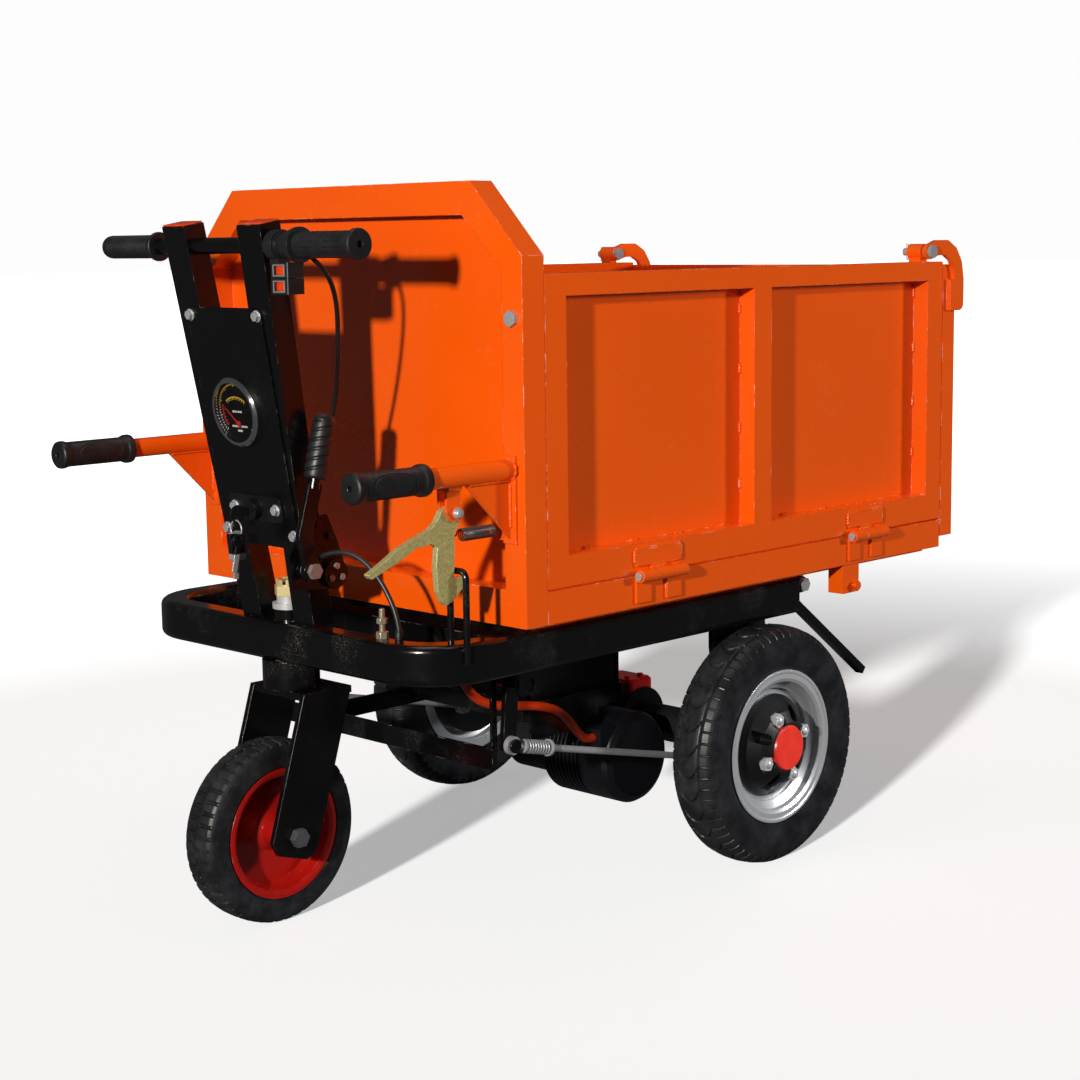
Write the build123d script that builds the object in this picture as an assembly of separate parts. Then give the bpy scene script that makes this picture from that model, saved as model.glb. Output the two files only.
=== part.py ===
from build123d import *
import math
import os

# Electric wheelbarrow: a powered three-wheeled dumper with a hopper that tips over its rear axle.
# Millimetres. X runs from the operator's end to the dump end, counted from the rear axle; -Y is the
# operator's right and Z is the height above the floor. Every piece is moved along X at the end, so
# that the origin lies under the middle of the whole.

# fits
RUNNING = 0.06
SEAT = 0.05
REST_GAP = 0.5

# rear wheels and axle
TYRE_RADIUS = 181.0
TYRE_WIDTH = 80.0
TRACK = 670.0
RIM_RADIUS = 116.0
RIM_WIDTH = 66.0
RIM_LIP = 3.0
BEAD_RADIUS = 102.0
WELL_RADIUS = 90.0
RIM_WALL = 4.0
DISC_BACK = 4.0
DISC_BORE = 30.0
DRUM_RADIUS = 82.0
DRUM_WALL = 8.0
DRUM_CLEAR = 3.0
HUB_RADIUS = 77.0
HUB_RISE = 38.0
HUB_DISC_RADIUS = 34.0
HUB_DISC_RISE = 3.0
LUG_CIRCLE = 47.0
LUG_ACROSS = 19.0
LUG_HEIGHT = 10.0
LUG_COUNT = 4
HALF_SHAFT_RADIUS = 15.0
HALF_SHAFT_INNER = 200.0
AXLE_TUBE_RADIUS = 28.0
PLATE_INSET = 36.0
CASE_RADIUS = 50.0
CASE_WALL = 8.0
CASE_NEAR_Y = -90.0
CASE_FAR_Y = 40.0

# motor
MOTOR_X = -128.0
MOTOR_Z = 158.0
MOTOR_RADIUS = 70.0
MOTOR_NEAR_Y = -195.0
MOTOR_FAR_Y = -60.0
MOTOR_FINS = 9
FIN_DEPTH = 7.0

# brakes
BACKPLATE_RADIUS = 84.0
BACKPLATE_THICK = 5.0
CAM_X = -70.0
CAM_RISE = 34.0
CAM_RADIUS = 7.0
CAM_LEVER = 55.0
LEVER_CLEAR = 49.0
LEVER_RAIL_GAP = 36.0
LEVER_THICK = 8.0
BRAKE_SHAFT_X = -450.0
BRAKE_SHAFT_Z = 338.0
BRAKE_SHAFT_RADIUS = 9.0
BRAKE_ARM = 88.0
BRAKE_ARM_LEAN = 5.2
ROD_RADIUS = 5.0
ROD_PIN_RADIUS = 6.0
ROD_EYE_BORE = 8.0
ROD_EYE_RADIUS = 13.0
ROD_SPRING_COILS = 8
ROD_SPRING_RADIUS = 9.0
ROD_SPRING_WIRE = 1.2
ROD_SPRING_LENGTH = 46.0

# chassis loop
RAIL_HALF = 328.0
RAIL_WIDTH = 42.0
RAIL_TOP = 421.0
RAIL_HEIGHT = 55.0
RAIL_EDGE = 10.0
RAIL_WALL = 3.0
RAIL_REAR = 95.0
BOW_X = -668.0
BOW_RADIUS = 100.0
CROSS_X = (-490.0, -340.0, -108.0, 62.0)
CROSS_WIDTH = 40.0
CROSS_HEIGHT = 36.0
AXLE_PLATE_THICK = 8.0
AXLE_PLATE_GAP = 12.0
TRAY_FRONT = -323.0
TRAY_REAR = -126.0
TRAY_HALF = 160.0
TRAY_FLOOR = 245.0
TRAY_SHEET = 3.0
TRAY_LIP = 25.0
TRAY_BAR = 30.0
TRAY_WALL = 4.0
GUARD_X = -475.0
GUARD_GAP = 11.0
BATTERY_COUNT = 4
BATTERY_LENGTH = 181.0
BATTERY_WIDTH = 76.0
BATTERY_HEIGHT = 160.0
CONTROLLER_FRONT = -433.0
CONTROLLER_REAR = -357.0
CONTROLLER_HALF = 95.0
CONTROLLER_HEIGHT = 45.0
HOOP_X = -602.0
HOOP_Z = 517.0
HOOP_RADIUS = 4.5
HOOP_OFFSET = 15.0

# caster
KINGPIN_X = -634.0
KINGPIN_RADIUS = 14.0
HOUSING_RADIUS = 21.0
HOUSING_TOP = 437.0
NECK_RADIUS = 40.0
NECK_BOTTOM = 326.5
FRONT_X = -679.0
FRONT_RADIUS = 129.0
FRONT_HALF_WIDTH = 31.0
FRONT_RIM_RADIUS = 92.0
FRONT_SEAT_RADIUS = 84.0
FRONT_BOLT_RADIUS = 8.0
FRONT_HUB_RADIUS = 22.0
FORK_HALF = 60.0
FORK_THICK = 8.0
CROWN_TOP = 326.0
CROWN_THICK = 10.0
CROWN_FRONT = -660.0
CROWN_REAR = -576.0
LEG_HALF = 40.0
LEG_END = 29.0
LEG_CUT = 15.0

# steering column
COLUMN_FOOT_X = -654.0
COLUMN_SLOPE = 0.171
COLUMN_TOP = 962.0
CHANNEL_DEPTH = 34.0
CHANNEL_WALL = 3.0
CHANNEL_FOOT_IN = 36.0
CHANNEL_FOOT_OUT = 78.0
CHANNEL_TOP_IN = 58.0
CHANNEL_TOP_OUT = 107.0
COVER_BOTTOM = 530.0
COVER_TOP = 855.0
COVER_HALF = 80.0
COVER_THICK = 2.5
COVER_BOLT_U = 73.0
GAUGE_Z = 716.0
GAUGE_RADIUS = 48.0
GAUGE_BODY_RADIUS = 43.0
GAUGE_GLASS_RADIUS = 41.0
GAUGE_PROUD = 14.0
LOCK_Z = 583.0
LOCK_RADIUS = 14.0
LOCK_PROUD = 16.0
LOCK_BOLT_U = 45.0
PLUG_RADIUS = 5.0
KEY_HEAD_RADIUS = 12.0
KEY_THICK = 2.4
KEY_HOLE_RADIUS = 3.0
KEY_RING_RADIUS = 12.0
KEY_RING_WIRE = 1.0
FOB_WIDTH = 22.0
FOB_HEIGHT = 40.0
FOB_THICK = 8.0

# handlebar
BAR_X = -727.0
BAR_Z = 936.0
BAR_RADIUS = 11.0
BAR_NEAR_Y = -268.0
BAR_FAR_Y = 256.0
LEFT_GRIP_Y = 140.0
LEFT_GRIP_RADIUS = 16.0
THROTTLE_Y = -110.0
COLLAR_LENGTH = 22.0
COLLAR_RADIUS = 17.0
CONE_LENGTH = 34.0
CONE_RADIUS = 23.0
THROTTLE_RADIUS = 17.0
THROTTLE_DISC_RADIUS = 20.0
THROTTLE_END_Y = -282.0
POD_WIDTH = 36.0
POD_DEPTH = 28.0
POD_HEIGHT = 20.0
POD_Y = -137.0
ROCKER_LENGTH = 18.0
ROCKER_HEIGHT = 11.0
ROCKER_TILT = 8.0

# handbrake
HANDBRAKE_X = -685.0
HANDBRAKE_Z = 507.0
HANDBRAKE_Y = -115.0
HANDBRAKE_BOLT = 6.0
HANDBRAKE_PLATE_Y = -92.0
HANDBRAKE_PLATE = 5.0
HANDLE_BAR = 22.0
HANDLE_CORE = 8.0
HANDLE_RADIUS = 14.5
HANDLE_RIBS = 9

# cords
CABLE_RADIUS = 3.5
ADJUSTER_X = -642.0
ADJUSTER_Y = -206.0
ADJUSTER_HEIGHT = 40.0
LEAD_RADIUS = 3.2
CONDUIT_RADIUS = 8.0

# hopper
HOPPER_HALF = 350.0
HOPPER_BOTTOM = 432.0
FLOOR_BOTTOM = 440.0
FLOOR_THICK = 3.0
STRIP_THICK = 4.0
STRIP_TOP = 476.5
BEARER_INSIDE = 2.0
BEARER_OUTSIDE = 10.0
HOPPER_REAR = 437.0
WALL_FRONT = -516.0
WALL_DEPTH = 40.0
WALL_SHEET = 3.0
WALL_TOP = 1016.0
WALL_CHAMFER_Y = 95.0
WALL_CHAMFER_Z = 97.5
BAND_TOP = 44.0
BAND_SIDE = 39.0
BAND_BOTTOM = 49.0
PANEL_GAP = 1.0
PANEL_DEPTH = 30.0
PANEL_BOTTOM = 479.0
PANEL_TOP = 895.0
PANEL_STILE = 40.0
PANEL_TOP_RAIL = 30.0
PANEL_BOTTOM_RAIL = 42.0
PANEL_MID_X = -23.0
PANEL_SKIN = 2.0
TUBE_WALL = 2.5
HINGE_OUT = 10.0
HINGE_Z = 477.0
HINGE_RADIUS = 9.0
HINGE_PIN = 4.0
HINGE_SPANS = ((-305.0, -211.0), (187.0, 273.0))
PIVOT_X = 112.0
PIVOT_Z = 408.0
PIVOT_BOLT = 6.0
EAR_RADIUS = 12.5
HOPPER_EAR = 14.0
LUG_FRONT = 177.0
LUG_REAR = 218.0
LUG_BOTTOM = 387.0
LUG_WIDTH = 28.0
STOP_END_X = 278.0
STOP_END_Z = 246.0
STOP_THICK = 12.0
STOP_WIDTH = 14.0

# tailgate
GATE_FRONT = 440.0
GATE_DEPTH = 32.0
GATE_BOTTOM = 449.0
GATE_TOP = 890.0
GATE_X = 390.0
GATE_Z = 911.0
GATE_PIN = 6.0
GATE_TUBE = 12.5
ARM_WIDTH = 24.0
ARM_THICK = 8.0
ARM_REAR = 485.0

# tip handles and latch
HANDLE_INSET = 26.0
HANDLE_Z = 642.0
HANDLE_TUBE = 14.0
HANDLE_TUBE_BORE = 11.5
HANDLE_END_X = -790.0
GRIP_INNER_X = -668.0
GRIP_RADIUS = 18.0
GRIP_FLANGE = 21.0
GRIP_RIBS = 10
LATCH_X = -611.0
LATCH_INSET = 17.0
LATCH_Z = 594.0
LATCH_THICK = 9.0
LATCH_RIVET = 4.0
LATCH_SPRING_COILS = 20
LATCH_SPRING_RADIUS = 7.6
LATCH_SPRING_WIRE = 1.1
LATCH_ANCHOR_X = -523.0
PANEL_BOLT_INSET = 18.0
PANEL_BOLT_Z = 838.0

AXLE_Z = TYRE_RADIUS
SHIFT_X = -(FRONT_X - FRONT_RADIUS + ARM_REAR) / 2
HALF_TRACK = TRACK / 2
AXLE_TUBE_HALF = HALF_TRACK - PLATE_INSET
DRUM_DEPTH = PLATE_INSET - BACKPLATE_THICK - DRUM_CLEAR + DISC_BACK
RAIL_INNER = RAIL_HALF - RAIL_WIDTH
LEVER_Y = min(AXLE_TUBE_HALF - LEVER_CLEAR, RAIL_INNER - LEVER_RAIL_GAP)
GUARD_HALF = LEVER_Y - GUARD_GAP
AXLE_PLATE_Y = min(RAIL_INNER + 1, AXLE_TUBE_HALF - AXLE_PLATE_GAP)
BEARER_IN = RAIL_INNER - BEARER_INSIDE
BEARER_OUT = RAIL_HALF - BEARER_OUTSIDE
HINGE_Y = HOPPER_HALF + HINGE_OUT
HANDLE_Y = HOPPER_HALF - HANDLE_INSET
PANEL_BOLT_Y = HOPPER_HALF - PANEL_BOLT_INSET
LATCH_Y = LATCH_INSET - RAIL_HALF
HOOP_INNER_Y = LATCH_Y + HOOP_OFFSET
RAIL_BOTTOM = RAIL_TOP - RAIL_HEIGHT
LEAN = math.atan(COLUMN_SLOPE)


def block(x0, x1, y0, y1, z0, z1):
    """Box between two corners."""
    return Pos((x0 + x1) / 2, (y0 + y1) / 2, (z0 + z1) / 2) * Box(x1 - x0, y1 - y0, z1 - z0)


def rod_x(x0, x1, y, z, radius):
    """Round bar along X."""
    return Pos((x0 + x1) / 2, y, z) * Rot(0, 90, 0) * Cylinder(radius, abs(x1 - x0))


def rod_y(x, y0, y1, z, radius):
    """Round bar along Y."""
    return Pos(x, (y0 + y1) / 2, z) * Rot(90, 0, 0) * Cylinder(radius, abs(y1 - y0))


def rod_z(x, y, z0, z1, radius):
    """Upright round bar."""
    return Pos(x, y, (z0 + z1) / 2) * Cylinder(radius, abs(z1 - z0))


def plate_xz(points, y0, y1):
    """Plate with its outline in X and Z, between two values of Y."""
    plane = Plane(origin=(0, max(y0, y1), 0), x_dir=(1, 0, 0), z_dir=(0, -1, 0))
    return extrude(plane * make_face(Polyline(*points, close=True)), abs(y1 - y0))


def plate_yz(points, x0, x1):
    """Plate with its outline in Y and Z, between two values of X."""
    plane = Plane(origin=(min(x0, x1), 0, 0), x_dir=(0, 1, 0), z_dir=(1, 0, 0))
    return extrude(plane * make_face(Polyline(*points, close=True)), abs(x1 - x0))


def strap(points, width, y0, y1):
    """Flat bar with round ends and elbows that follows points in X and Z."""
    shape = rod_y(points[0][0], y0, y1, points[0][1], width / 2)
    for (xa, za), (xb, zb) in zip(points, points[1:]):
        length = math.hypot(xb - xa, zb - za)
        nx = (zb - za) / length * width / 2
        nz = -(xb - xa) / length * width / 2
        outline = [(xa + nx, za + nz), (xb + nx, zb + nz), (xb - nx, zb - nz), (xa - nx, za - nz)]
        shape += plate_xz(outline, y0, y1)
        shape += rod_y(xb, y0, y1, zb, width / 2)
    return shape


def turned(points):
    """Solid turned about X from an outline of axial and radial values."""
    return revolve(make_face(Polyline(*points, close=True)), axis=Axis.X)


def hexagon(across, height):
    """Hexagonal prism along Z, standing on the plane Z = 0."""
    return extrude(RegularPolygon(across / math.sqrt(3), 6), height)


def both(shape):
    """The shape and its mirror image across the middle plane, as two solids."""
    return Compound(children=[shape, mirror(shape, about=Plane.XZ)])


def helix_points(radius, length, coils, per_turn):
    """Points and tangents of a helix along X that starts at X = 0."""
    rise = length / coils
    result = []
    for step in range(coils * per_turn + 1):
        angle = 2 * math.pi * step / per_turn
        point = Vector(rise * step / per_turn, radius * math.cos(angle), radius * math.sin(angle))
        tangent = Vector(rise / (2 * math.pi), -radius * math.sin(angle), radius * math.cos(angle))
        result.append((point, tangent.normalized()))
    return result


def biarc(p0, t0, p1, t1):
    """Two arcs from p0 along t0 to p1 along t1, tangent where they meet."""
    v = p1 - p0
    t = t0 + t1
    k = 2 * (1 - t0.dot(t1))
    vt = v.dot(t)
    d = (-vt + math.sqrt(vt * vt + k * v.dot(v))) / k
    joint = (p0 + p1 + (t0 - t1) * d) * 0.5
    middle = (v - t * d).normalized()
    return [TangentArc(p0, joint, tangent=t0), TangentArc(joint, p1, tangent=middle)]


def coil_spring(radius, wire, length, coils, tail, name):
    """Coil spring along X with straight tails on its axis, as one swept wire."""
    turns = helix_points(radius, length, coils, 4)
    along = Vector(1, 0, 0)
    lead = Vector(-1.6 * radius, 0, 0)
    start = turns[0][0] + lead - Vector(0, radius, 0)
    stop = turns[-1][0] - lead - Vector(0, radius, 0)
    edges = []
    if tail:
        edges.append(Line(start - along * tail, start))
        edges += biarc(start, along, turns[0][0], turns[0][1])
    for (p0, t0), (p1, t1) in zip(turns, turns[1:]):
        edges += biarc(p0, t0, p1, t1)
    if tail:
        edges += biarc(turns[-1][0], turns[-1][1], stop, along)
        edges.append(Line(stop, stop + along * tail))
    path = Wire(edges)
    section = Plane(origin=path @ 0, z_dir=path % 0) * Circle(wire)
    rise = length / coils
    fine = helix_points(radius, length, coils, 24)
    gap = min((fine[i + 24][0] - fine[i][0]).length for i in range(len(fine) - 24)) - 2 * wire
    print(f"{name}: rise {rise:.2f}, least gap to itself {gap:.2f}, wire length {path.length:.1f}")
    return sweep(section, path=path)


def cord(points, radius, name):
    """Tube along straight runs joined by the widest arcs that the runs allow."""
    route = [Vector(*p) for p in points]
    radii = []
    for a, b, c in zip(route, route[1:], route[2:]):
        turn = math.radians((b - a).get_angle(c - b))
        radii.append(0.45 * min((b - a).length, (c - b).length) / math.tan(turn / 2))
    path = FilletPolyline(*route, radius=radii)
    section = Plane(origin=path @ 0, z_dir=path % 0) * Circle(radius)
    tube = sweep(section, path=path)
    expected = math.pi * radius ** 2 * path.length
    listed = ", ".join(f"{r:.0f}" for r in radii)
    print(f"{name}: radii {listed}; volume {tube.volume:.0f} for {expected:.0f}")
    return tube


def on_column(u, height, w):
    """Place on the column's front plane: across, height above the floor there, and depth behind it."""
    return COLUMN * Pos(u, (height - RAIL_TOP) / math.cos(LEAN), w)


def channel_out(height):
    """Outer half width of the column at a height."""
    share = (height - RAIL_TOP) / (COLUMN_TOP - RAIL_TOP)
    return CHANNEL_FOOT_OUT + share * (CHANNEL_TOP_OUT - CHANNEL_FOOT_OUT)


COLUMN = Plane(
    origin=(COLUMN_FOOT_X, 0, RAIL_TOP),
    x_dir=(0, 1, 0),
    z_dir=(math.cos(LEAN), 0, math.sin(LEAN)),
)
parts = {}


# rear wheels: outlines run outward from the middle plane of the wheel
half_tyre = TYRE_WIDTH / 2
half_rim = RIM_WIDTH / 2
bead_side = half_rim - RIM_LIP - 0.3
tyre_side = [
    (bead_side - 11, BEAD_RADIUS),
    (bead_side, BEAD_RADIUS),
    (bead_side, RIM_RADIUS + 1),
    (half_rim + 2, RIM_RADIUS + 4),
    (half_tyre - 1, RIM_RADIUS + 16),
    (half_tyre, RIM_RADIUS + 30),
    (half_tyre - 2.5, TYRE_RADIUS - 20),
    (half_tyre - 8, TYRE_RADIUS - 9),
    (half_tyre - 16, TYRE_RADIUS - 3.5),
    (half_tyre - 28, TYRE_RADIUS - 0.8),
]
tyre_inside = [
    (half_tyre - 28, TYRE_RADIUS - 13),
    (half_tyre - 15, TYRE_RADIUS - 17),
    (half_tyre - 8, RIM_RADIUS + 30),
    (half_tyre - 13, RIM_RADIUS + 6),
    (bead_side - 11, BEAD_RADIUS + 6),
]
tyre_outline = (
    tyre_side
    + [(0, TYRE_RADIUS)]
    + [(-t, r) for t, r in reversed(tyre_side)]
    + [(-t, r) for t, r in reversed(tyre_inside)]
    + tyre_inside
)
seat = BEAD_RADIUS - 0.3
rim_outline = [
    (half_rim, RIM_RADIUS),
    (half_rim - RIM_LIP, RIM_RADIUS),
    (half_rim - RIM_LIP, seat),
    (half_rim - 16, seat),
    (half_rim - 21, WELL_RADIUS),
    (21 - half_rim, WELL_RADIUS),
    (16 - half_rim, seat),
    (RIM_LIP - half_rim, seat),
    (RIM_LIP - half_rim, RIM_RADIUS),
    (-half_rim, RIM_RADIUS),
    (-half_rim, seat - RIM_WALL),
    (13 - half_rim, seat - RIM_WALL),
    (19 - half_rim, WELL_RADIUS - RIM_WALL),
    (DISC_BACK, WELL_RADIUS - RIM_WALL),
    (DISC_BACK, DISC_BORE),
    (DISC_BACK + RIM_WALL, DISC_BORE),
    (DISC_BACK + RIM_WALL, WELL_RADIUS - RIM_WALL),
    (half_rim - 19, WELL_RADIUS - RIM_WALL),
    (half_rim - 13, seat - RIM_WALL),
    (half_rim - 4, seat - RIM_WALL),
    (half_rim - 1.2, seat + 1),
    (half_rim - 1.2, RIM_RADIUS - 6),
    (half_rim, RIM_RADIUS - 4),
]
disc_face = DISC_BACK + RIM_WALL
hub_top = disc_face + HUB_RISE
hub_outline = [
    (disc_face, 0),
    (disc_face, HUB_RADIUS),
    (disc_face + 5, HUB_RADIUS),
    (disc_face + 9, HUB_RADIUS - 4),
    (hub_top - 8, HUB_RADIUS - 23),
    (hub_top - 2, HUB_RADIUS - 33),
    (hub_top, HUB_DISC_RADIUS + 4),
    (hub_top, HUB_DISC_RADIUS),
    (hub_top + HUB_DISC_RISE, HUB_DISC_RADIUS - 1.5),
    (hub_top + HUB_DISC_RISE, 0),
]
drum_bore = DRUM_RADIUS - DRUM_WALL
drum_outline = [
    (DISC_BACK - DRUM_DEPTH, DRUM_RADIUS),
    (DISC_BACK, DRUM_RADIUS),
    (DISC_BACK, 0),
    (-HALF_TRACK + HALF_SHAFT_INNER, 0),
    (-HALF_TRACK + HALF_SHAFT_INNER, HALF_SHAFT_RADIUS),
    (DISC_BACK - DRUM_WALL, HALF_SHAFT_RADIUS),
    (DISC_BACK - DRUM_WALL, drum_bore),
    (DISC_BACK - DRUM_DEPTH, drum_bore),
]
tyre = turned(tyre_outline)
rim = turned(rim_outline)
hub = turned(hub_outline)
drum = turned(drum_outline)
lug_floor = hub_top - LUG_HEIGHT - 2
lugs = []
for index in range(LUG_COUNT):
    turn = Rot(22 + 360 * index / LUG_COUNT, 0, 0)
    spot = turn * Pos(lug_floor, LUG_CIRCLE, 0) * Rot(0, 90, 0)
    hub -= spot * Pos(0, 0, 15) * Cylinder(LUG_ACROSS * 0.72, 30)
    pocket = turn * Rot(180 / LUG_COUNT, 0, 0) * Pos(disc_face + 14, HUB_RADIUS - 20, 0) * Rot(0, 90, 0)
    hub -= pocket * extrude(SlotOverall(34, 17, rotation=90), HUB_RISE)
    dome = Pos(0, 0, LUG_HEIGHT - 4) * Sphere(LUG_ACROSS * 0.42) & Pos(0, 0, LUG_HEIGHT) * Box(40, 40, 12)
    lugs.append(spot * (hexagon(LUG_ACROSS, LUG_HEIGHT) + dome))
wheel_place = Pos(0, -HALF_TRACK, AXLE_Z) * Rot(0, 0, -90)
wheel_pieces = {
    "rear_tyre": wheel_place * tyre,
    "rear_rim": wheel_place * rim,
    "rear_hub": wheel_place * hub,
    "brake_drum": wheel_place * drum,
}
for name, shape in wheel_pieces.items():
    parts[name + "_right"] = shape
    parts[name + "_left"] = mirror(shape, about=Plane.XZ)
lug_solids = [wheel_place * nut for nut in lugs]
parts["lug_nuts_right"] = Compound(children=lug_solids)
parts["lug_nuts_left"] = Compound(children=[mirror(nut, about=Plane.XZ) for nut in lug_solids])

# axle, final drive and motor
axle = rod_y(0, -AXLE_TUBE_HALF, AXLE_TUBE_HALF, AXLE_Z, AXLE_TUBE_RADIUS)
case_link = [(0, AXLE_Z), (MOTOR_X, MOTOR_Z)]
axle += rod_y(0, CASE_NEAR_Y, CASE_FAR_Y, AXLE_Z, CASE_RADIUS)
axle += strap(case_link, 2 * CASE_RADIUS, MOTOR_FAR_Y, CASE_FAR_Y)
inner_width = 2 * (CASE_RADIUS - CASE_WALL)
axle -= strap(case_link, inner_width, MOTOR_FAR_Y + CASE_WALL, CASE_FAR_Y - CASE_WALL)
axle -= rod_y(0, -AXLE_TUBE_HALF, AXLE_TUBE_HALF, AXLE_Z, HALF_SHAFT_RADIUS + RUNNING)
parts["axle_housing"] = axle
cover_box = block(-30, 30, CASE_NEAR_Y + 3, CASE_NEAR_Y + 77, AXLE_Z + 30, AXLE_Z + CASE_RADIUS + 14)
cover_box = fillet(cover_box.edges().filter_by(Axis.Z), 12)
cover_box = chamfer(cover_box.faces().sort_by(Axis.Z)[-1].edges(), 4)
cover_box -= rod_y(0, -200, 200, AXLE_Z, CASE_RADIUS + SEAT)
cover_box -= strap(case_link, 2 * (CASE_RADIUS + SEAT), MOTOR_FAR_Y - SEAT, CASE_FAR_Y)
cover_top = AXLE_Z + CASE_RADIUS + 14
for boss_x, boss_y in ((-15, CASE_NEAR_Y + 20), (15, CASE_NEAR_Y + 20), (0, CASE_NEAR_Y + 60)):
    cover_box += rod_z(boss_x, boss_y, cover_top - 2, cover_top + 4, 5)
parts["gear_cover"] = cover_box
motor_length = MOTOR_FAR_Y - MOTOR_NEAR_Y
fin_pitch = motor_length * 0.55 / MOTOR_FINS
motor_outline = [
    (0, 0),
    (0, MOTOR_RADIUS - 12),
    (5, MOTOR_RADIUS - 4),
    (12, MOTOR_RADIUS),
    (motor_length * 0.45, MOTOR_RADIUS),
]
for index in range(MOTOR_FINS):
    base = motor_length * 0.45 + index * fin_pitch
    motor_outline += [
        (base, MOTOR_RADIUS - FIN_DEPTH),
        (base + fin_pitch * 0.5, MOTOR_RADIUS - FIN_DEPTH),
        (base + fin_pitch * 0.5, MOTOR_RADIUS),
        (base + fin_pitch, MOTOR_RADIUS),
    ]
motor_outline += [(motor_length, MOTOR_RADIUS), (motor_length, 0)]
cleaned = [motor_outline[0]]
for point in motor_outline[1:]:
    if math.dist(point, cleaned[-1]) > 1e-6:
        cleaned.append(point)
motor = Pos(MOTOR_X, MOTOR_NEAR_Y, MOTOR_Z) * Rot(0, 0, 90) * turned(cleaned)
box_x = MOTOR_X - MOTOR_RADIUS
motor += block(box_x - 6, box_x + 30, MOTOR_NEAR_Y + 8, MOTOR_NEAR_Y + 38, MOTOR_Z + 22, MOTOR_Z + 56)
parts["drive_motor"] = motor

# drum brakes
plate = rod_y(0, -AXLE_TUBE_HALF - BACKPLATE_THICK, -AXLE_TUBE_HALF, AXLE_Z, BACKPLATE_RADIUS)
shoe_end = -HALF_TRACK - DISC_BACK + DRUM_WALL + 2
shoes = rod_y(0, shoe_end, -AXLE_TUBE_HALF - 1, AXLE_Z, drum_bore - 1)
shoes -= rod_y(0, shoe_end - 1, -AXLE_TUBE_HALF, AXLE_Z, drum_bore - 8)
shoes -= block(-20, 20, shoe_end - 1, -AXLE_TUBE_HALF, AXLE_Z - 90, AXLE_Z + 90)
cam_z = AXLE_Z + CAM_RISE
shoes -= rod_y(CAM_X, shoe_end - 1, -AXLE_TUBE_HALF, cam_z, CAM_RADIUS + 8)
plate += shoes
plate -= rod_y(0, shoe_end - 1, 1 - AXLE_TUBE_HALF, AXLE_Z, HALF_SHAFT_RADIUS + RUNNING)
plate -= rod_y(CAM_X, shoe_end - 1, 1 - AXLE_TUBE_HALF, cam_z, CAM_RADIUS + RUNNING)
parts["brake_plates"] = both(plate)
lever_in = -LEVER_Y + LEVER_THICK / 2
lever_out = -LEVER_Y - LEVER_THICK / 2
eye_in = lever_out - 1
eye_out = eye_in - LEVER_THICK
pin_end = eye_out - 1.5
cam_foot = (CAM_X, cam_z - CAM_LEVER)
cam_lever = strap([(CAM_X, cam_z), cam_foot], 20, lever_out, lever_in)
cam_lever += rod_y(CAM_X, lever_in + 4, -AXLE_TUBE_HALF - BACKPLATE_THICK - 1, cam_z, CAM_RADIUS)
cam_lever += rod_y(cam_foot[0], lever_out, pin_end, cam_foot[1], ROD_PIN_RADIUS)
cam_lever += rod_y(cam_foot[0], pin_end, pin_end - 3, cam_foot[1], ROD_PIN_RADIUS + 4)
parts["drum_levers"] = both(cam_lever)
arm_lean = math.radians(BRAKE_ARM_LEAN)
arm_foot = (
    BRAKE_SHAFT_X - BRAKE_ARM * math.sin(arm_lean),
    BRAKE_SHAFT_Z - BRAKE_ARM * math.cos(arm_lean),
)
brake_shaft = rod_y(BRAKE_SHAFT_X, -RAIL_INNER + 1, RAIL_INNER - 1, BRAKE_SHAFT_Z, BRAKE_SHAFT_RADIUS)
arm = strap([(BRAKE_SHAFT_X, BRAKE_SHAFT_Z), arm_foot], 24, lever_out, lever_in)
arm += rod_y(arm_foot[0], lever_out, pin_end, arm_foot[1], ROD_PIN_RADIUS)
arm += rod_y(arm_foot[0], pin_end, pin_end - 3, arm_foot[1], ROD_PIN_RADIUS + 4)
brake_shaft += arm
brake_shaft += mirror(arm, about=Plane.XZ)
parts["brake_shaft"] = brake_shaft
rod_y_middle = (eye_in + eye_out) / 2
rod_run = Vector(cam_foot[0] - arm_foot[0], 0, cam_foot[1] - arm_foot[1])
rod_way = rod_run.normalized()
rod_length = rod_run.length
rod_front = Vector(arm_foot[0], rod_y_middle, arm_foot[1])
rod_place = Plane(origin=rod_front, x_dir=rod_way, z_dir=(0, -1, 0))
collar_at = 24 + ROD_SPRING_LENGTH
brake_rod = rod_x(ROD_EYE_RADIUS - 3, rod_length - ROD_EYE_RADIUS + 3, 0, 0, ROD_RADIUS)
brake_rod += Cylinder(ROD_EYE_RADIUS, LEVER_THICK)
brake_rod += Pos(rod_length, 0, 0) * Cylinder(ROD_EYE_RADIUS, LEVER_THICK)
brake_rod += rod_x(collar_at, collar_at + 4, 0, 0, ROD_SPRING_RADIUS + 3)
brake_rod += rod_x(19, 23.5, 0, 0, ROD_SPRING_RADIUS + 1)
brake_rod -= Cylinder(ROD_EYE_BORE, 30)
brake_rod -= Pos(rod_length, 0, 0) * Cylinder(ROD_EYE_BORE, 30)
parts["brake_rods"] = both(rod_place * brake_rod)
spring_length = ROD_SPRING_LENGTH - 2 * ROD_SPRING_WIRE - 1.2
rod_spring = coil_spring(ROD_SPRING_RADIUS, ROD_SPRING_WIRE, spring_length, ROD_SPRING_COILS, 0, "rod spring")
parts["brake_rod_springs"] = both(rod_place * Pos(24 + ROD_SPRING_WIRE + 0.4, 0, 0) * rod_spring)

# chassis loop with everything that is welded to it
rail_mid = RAIL_HALF - RAIL_WIDTH / 2
bow_mid = BOW_X + RAIL_WIDTH / 2
loop_z = RAIL_TOP - RAIL_HEIGHT / 2


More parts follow.
